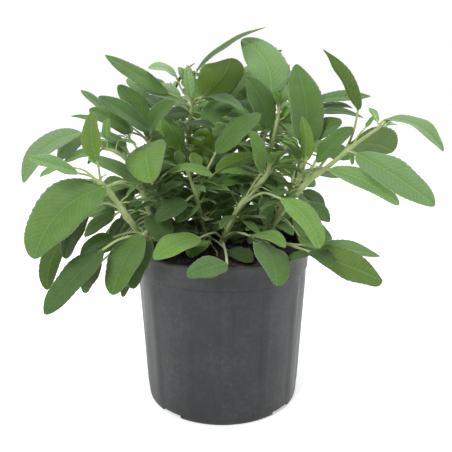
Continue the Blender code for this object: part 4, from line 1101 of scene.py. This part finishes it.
# Columns and rows where a further small leaf closes the view through the plant. It is tried at depths from
# the back to the front, nearer at the sides than in the middle's columns, where a stem is within reach.
GLIMPSES = [(241, 95), (196, 86), (197, 109), (184, 117), (316, 146), (287, 223), (303, 198), (108, 129),
            (101, 214), (147, 185), (136, 219), (124, 226), (111, 243), (311, 249), (308, 238), (284, 106),
            (158, 130), (156, 204), (278, 131), (150, 192), (205, 102), (257, 125), (234, 113), (303, 179),
            (285, 97), (294, 155), (246, 149), (220, 122), (200, 205), (213, 215), (247, 214), (114, 185),
            (133, 183), (118, 232), (196, 115), (197, 94), (186, 108), (218, 175), (165, 176), (252, 165),
            (286, 214), (288, 78), (270, 129), (337, 152), (104, 252)]
MIDDLE, DEEPEST, NEAREST, NEAREST_SIDE, DEPTH_STEP = range(131, 300), 104, 12, -50, 7
SHORTEST, LONGEST, LONGEST_HALF = 14, 62, 17

solids = {}
for name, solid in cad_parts.items():
    dots = [v.co for v in solid.data.vertices]
    solids[name] = BVHTree.FromPolygons(dots, [tuple(face.vertices) for face in solid.data.polygons])
taken = list(solids.values())

for name, (marks, leaves) in STEMS.items():
    draw = random.Random(name)
    line, radii = stem_line(marks, STEM_STEPS)
    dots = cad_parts[name].data.vertices
    corners = kdtree.KDTree(len(dots))
    for v in dots:
        corners.insert(v.co, v.index)
    corners.balance()
    whole = bmesh.new()
    joints = []
    for n, leaf in enumerate(leaves):
        if isinstance(leaf[0], int):
            joint = line[leaf[0]]
        else:
            joint = min(line[1:], key=lambda spot: (spot - leaf[0]).length)
        joints.append(joint)
        blade, bend = blade_of(leaf, corners, solids[name], "%s %d" % (name, n))
        if blade is None:
            continue
        path = blade.stalk_line(joint, bend)
        sizes = [blade.radius * (0.86 + 0.45 * math.exp(-k / 1.6)) for k in range(len(path))]
        grow(whole, stalk(path, sizes, 8, grooved(blade.face), GREEN_STEM))
        grow(whole, leaf_blade(blade, tone_of(leaf)))
        grow(whole, leaf_down(blade))
        if blade.width > CORNER_WIDTH:
            grow(whole, stem_down(path, sizes))
            k = line.index(joint)
            up = (line[min(k + 1, len(line) - 1)] - line[k - 1]).normalized()
            for _ in range(CORNER_BUD):
                way = (path[2] - joint).normalized() * 0.7 + up
                way += Vector([draw.gauss(0, 0.35) for _ in range(3)])
                base, tip = heading_off(joint, way, draw.uniform(3, 6), draw.uniform(8, 17))
                small_leaf(whole, joint, base, tip, (tip - base).length * 0.45, name, tone_of(leaf))
    for _ in range(TIP_BUD):
        way = (line[-1] - line[-2]).normalized() + Vector([draw.gauss(0, 0.55) for _ in range(3)])
        base, tip = heading_off(line[-2], way, draw.uniform(3, 8), draw.uniform(7, 15))
        small_leaf(whole, line[-2], base, tip, (tip - base).length * 0.45, name, tone_for("young"))
    for joint, base, tip, width in FURLED.get(name, ()):
        small_leaf(whole, place(joint), place(base), place(tip), width, name, tone_for("young"), width)
    for thin_marks in THIN_SHOOTS.get(name, ()):
        thin = curve([place(mark) for mark in thin_marks], 6)
        sizes = [THIN_FOOT - THIN_LOSS * k / len(thin) for k in range(len(thin))]
        grow(whole, stalk(thin, sizes, 10, square_stem, GREEN_STEM))
        grow(whole, stem_down(thin, sizes))
    inner = 0
    for _ in range(TRIES):
        joint = draw.choice(line[3:max(5, int(len(line) * 0.75))])
        way = aim(draw.uniform(0, math.tau), math.radians(draw.uniform(-15, 50)))
        reach, length = draw.uniform(5, 16), draw.uniform(17, 38)
        tip = joint + way * (reach + length)
        crowded = abs(tip.x) < HALF_WIDE and FRONT < tip.y < BACK and tip.z < SOIL_TOP + CROWN
        base, tip = heading_off(joint, way, reach, length)
        wide = length * draw.uniform(0.38, 0.52)
        if inner < MOST and crowded and small_leaf(whole, joint, base, tip, wide, name, inner_shade_tone(tip.z)):
            inner += 1
    for glimpse in GLIMPSES[:]:
        for depth in range(DEEPEST, NEAREST if glimpse[0] in MIDDLE else NEAREST_SIDE, -DEPTH_STEP):
            middle = place((*glimpse, depth))
            joint = min(line[4:], key=lambda spot: (spot - middle).length)
            way = middle - joint
            half = way.normalized() * min(LONGEST_HALF, way.length * 0.55)
            if not SHORTEST < way.length < LONGEST or abs(way.x) + abs(way.z) < 0.5 * way.length:
                continue
            base, tip, wide = middle - half, middle + half, half.length * 0.9
            if small_leaf(whole, joint, base, tip, wide, name, inner_shade_tone(middle.z), wide * 0.95):
                GLIMPSES.remove(glimpse)
                break
    swollen = [r * (0.87 + 0.22 * math.exp(-(min((p - j).length for j in joints) / 2.6) ** 2))
               for p, r in zip(line, radii)]
    grow(whole, stalk(line, swollen, 16, square_stem, GREEN_STEM))
    grow(whole, stem_down(line, swollen))
    leafy = part_from(name.replace("stem", "sage"), whole, leaf_top, leaf_under, green_stem, down)
    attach(leafy, "root")
    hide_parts(name)

# A dead twig still stands in the mix between the stems, the stalk of a leaf that has gone, with the last
# dry scrap of leaf curled up on it.
DRY_STALK, DRY_LEAF = 0, 1
TWIG = [(217, 257, -20, 0.75), (212, 245, -14, 0.7), (206, 232, -8, 0.65), (200, 219, -8, 0.6),
        (194, 209, -6, 0.5), (190, 202, -4, 0.35)]
SCRAP_FROM, SCRAP_TO, SCRAP_WIDTH = (199, 219, -8), (213, 221, -6), 8


def scrap(base, tip, width):
    """A thin dry blade, rolled in from both sides and crumpled."""
    shape = bmesh.new()
    bmesh.ops.create_grid(shape, x_segments=30, y_segments=12, size=1)
    chord = (tip - base).normalized()
    side = chord.cross(UP).normalized()
    up = side.cross(chord)
    for v in shape.verts:
        t, u = (v.co.x + 1) / 2, v.co.y
        swing = u * (2.0 + 0.5 * math.sin(5 * t))
        radius = width / 4 * math.sin(math.pi * (0.06 + 0.9 * t)) ** 0.7
        radius *= 1 + 0.16 * math.sin(19 * t + 4 * u)
        middle = base.lerp(tip, t) + up * (1.1 * math.sin(7 * t) + 0.8) + side * 0.7 * math.sin(5 * t + 1)
        v.co = (middle + side * (radius * math.sin(swing)) + up * (radius * (1 - math.cos(swing)))) * MM
    bmesh.ops.recalc_face_normals(shape, faces=shape.faces)
    bmesh.ops.solidify(shape, geom=shape.faces[:], thickness=0.25 * MM)
    for face in shape.faces:
        face.smooth = True
        face.material_index = DRY_LEAF
    return shape


DRY = 0.8, (420, 4, 0.65), 0.65, (900, 0.0003, 0.7)
dry_stalk = matt("dry_stalk", (0.170, 0.165, 0.080), (0.400, 0.390, 0.230), *DRY)
dry_leaf = matt("dry_leaf", (0.200, 0.125, 0.085), (0.560, 0.420, 0.320), *DRY)
draw = random.Random(8)
line, radii = stem_line(TWIG, 6)
whole = bmesh.new()
grow(whole, stalk(line, radii, 8, square_stem, DRY_STALK))
grow(whole, scrap(place(SCRAP_FROM), place(SCRAP_TO), SCRAP_WIDTH))
twig = part_from("dry_twig", whole, dry_stalk, dry_leaf)
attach(twig, "root")

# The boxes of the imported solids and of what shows, side by side
shown_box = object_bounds()
sizes = {"cad": [list(corner) for corner in cad_box], "shown": [list(corner) for corner in shown_box]}
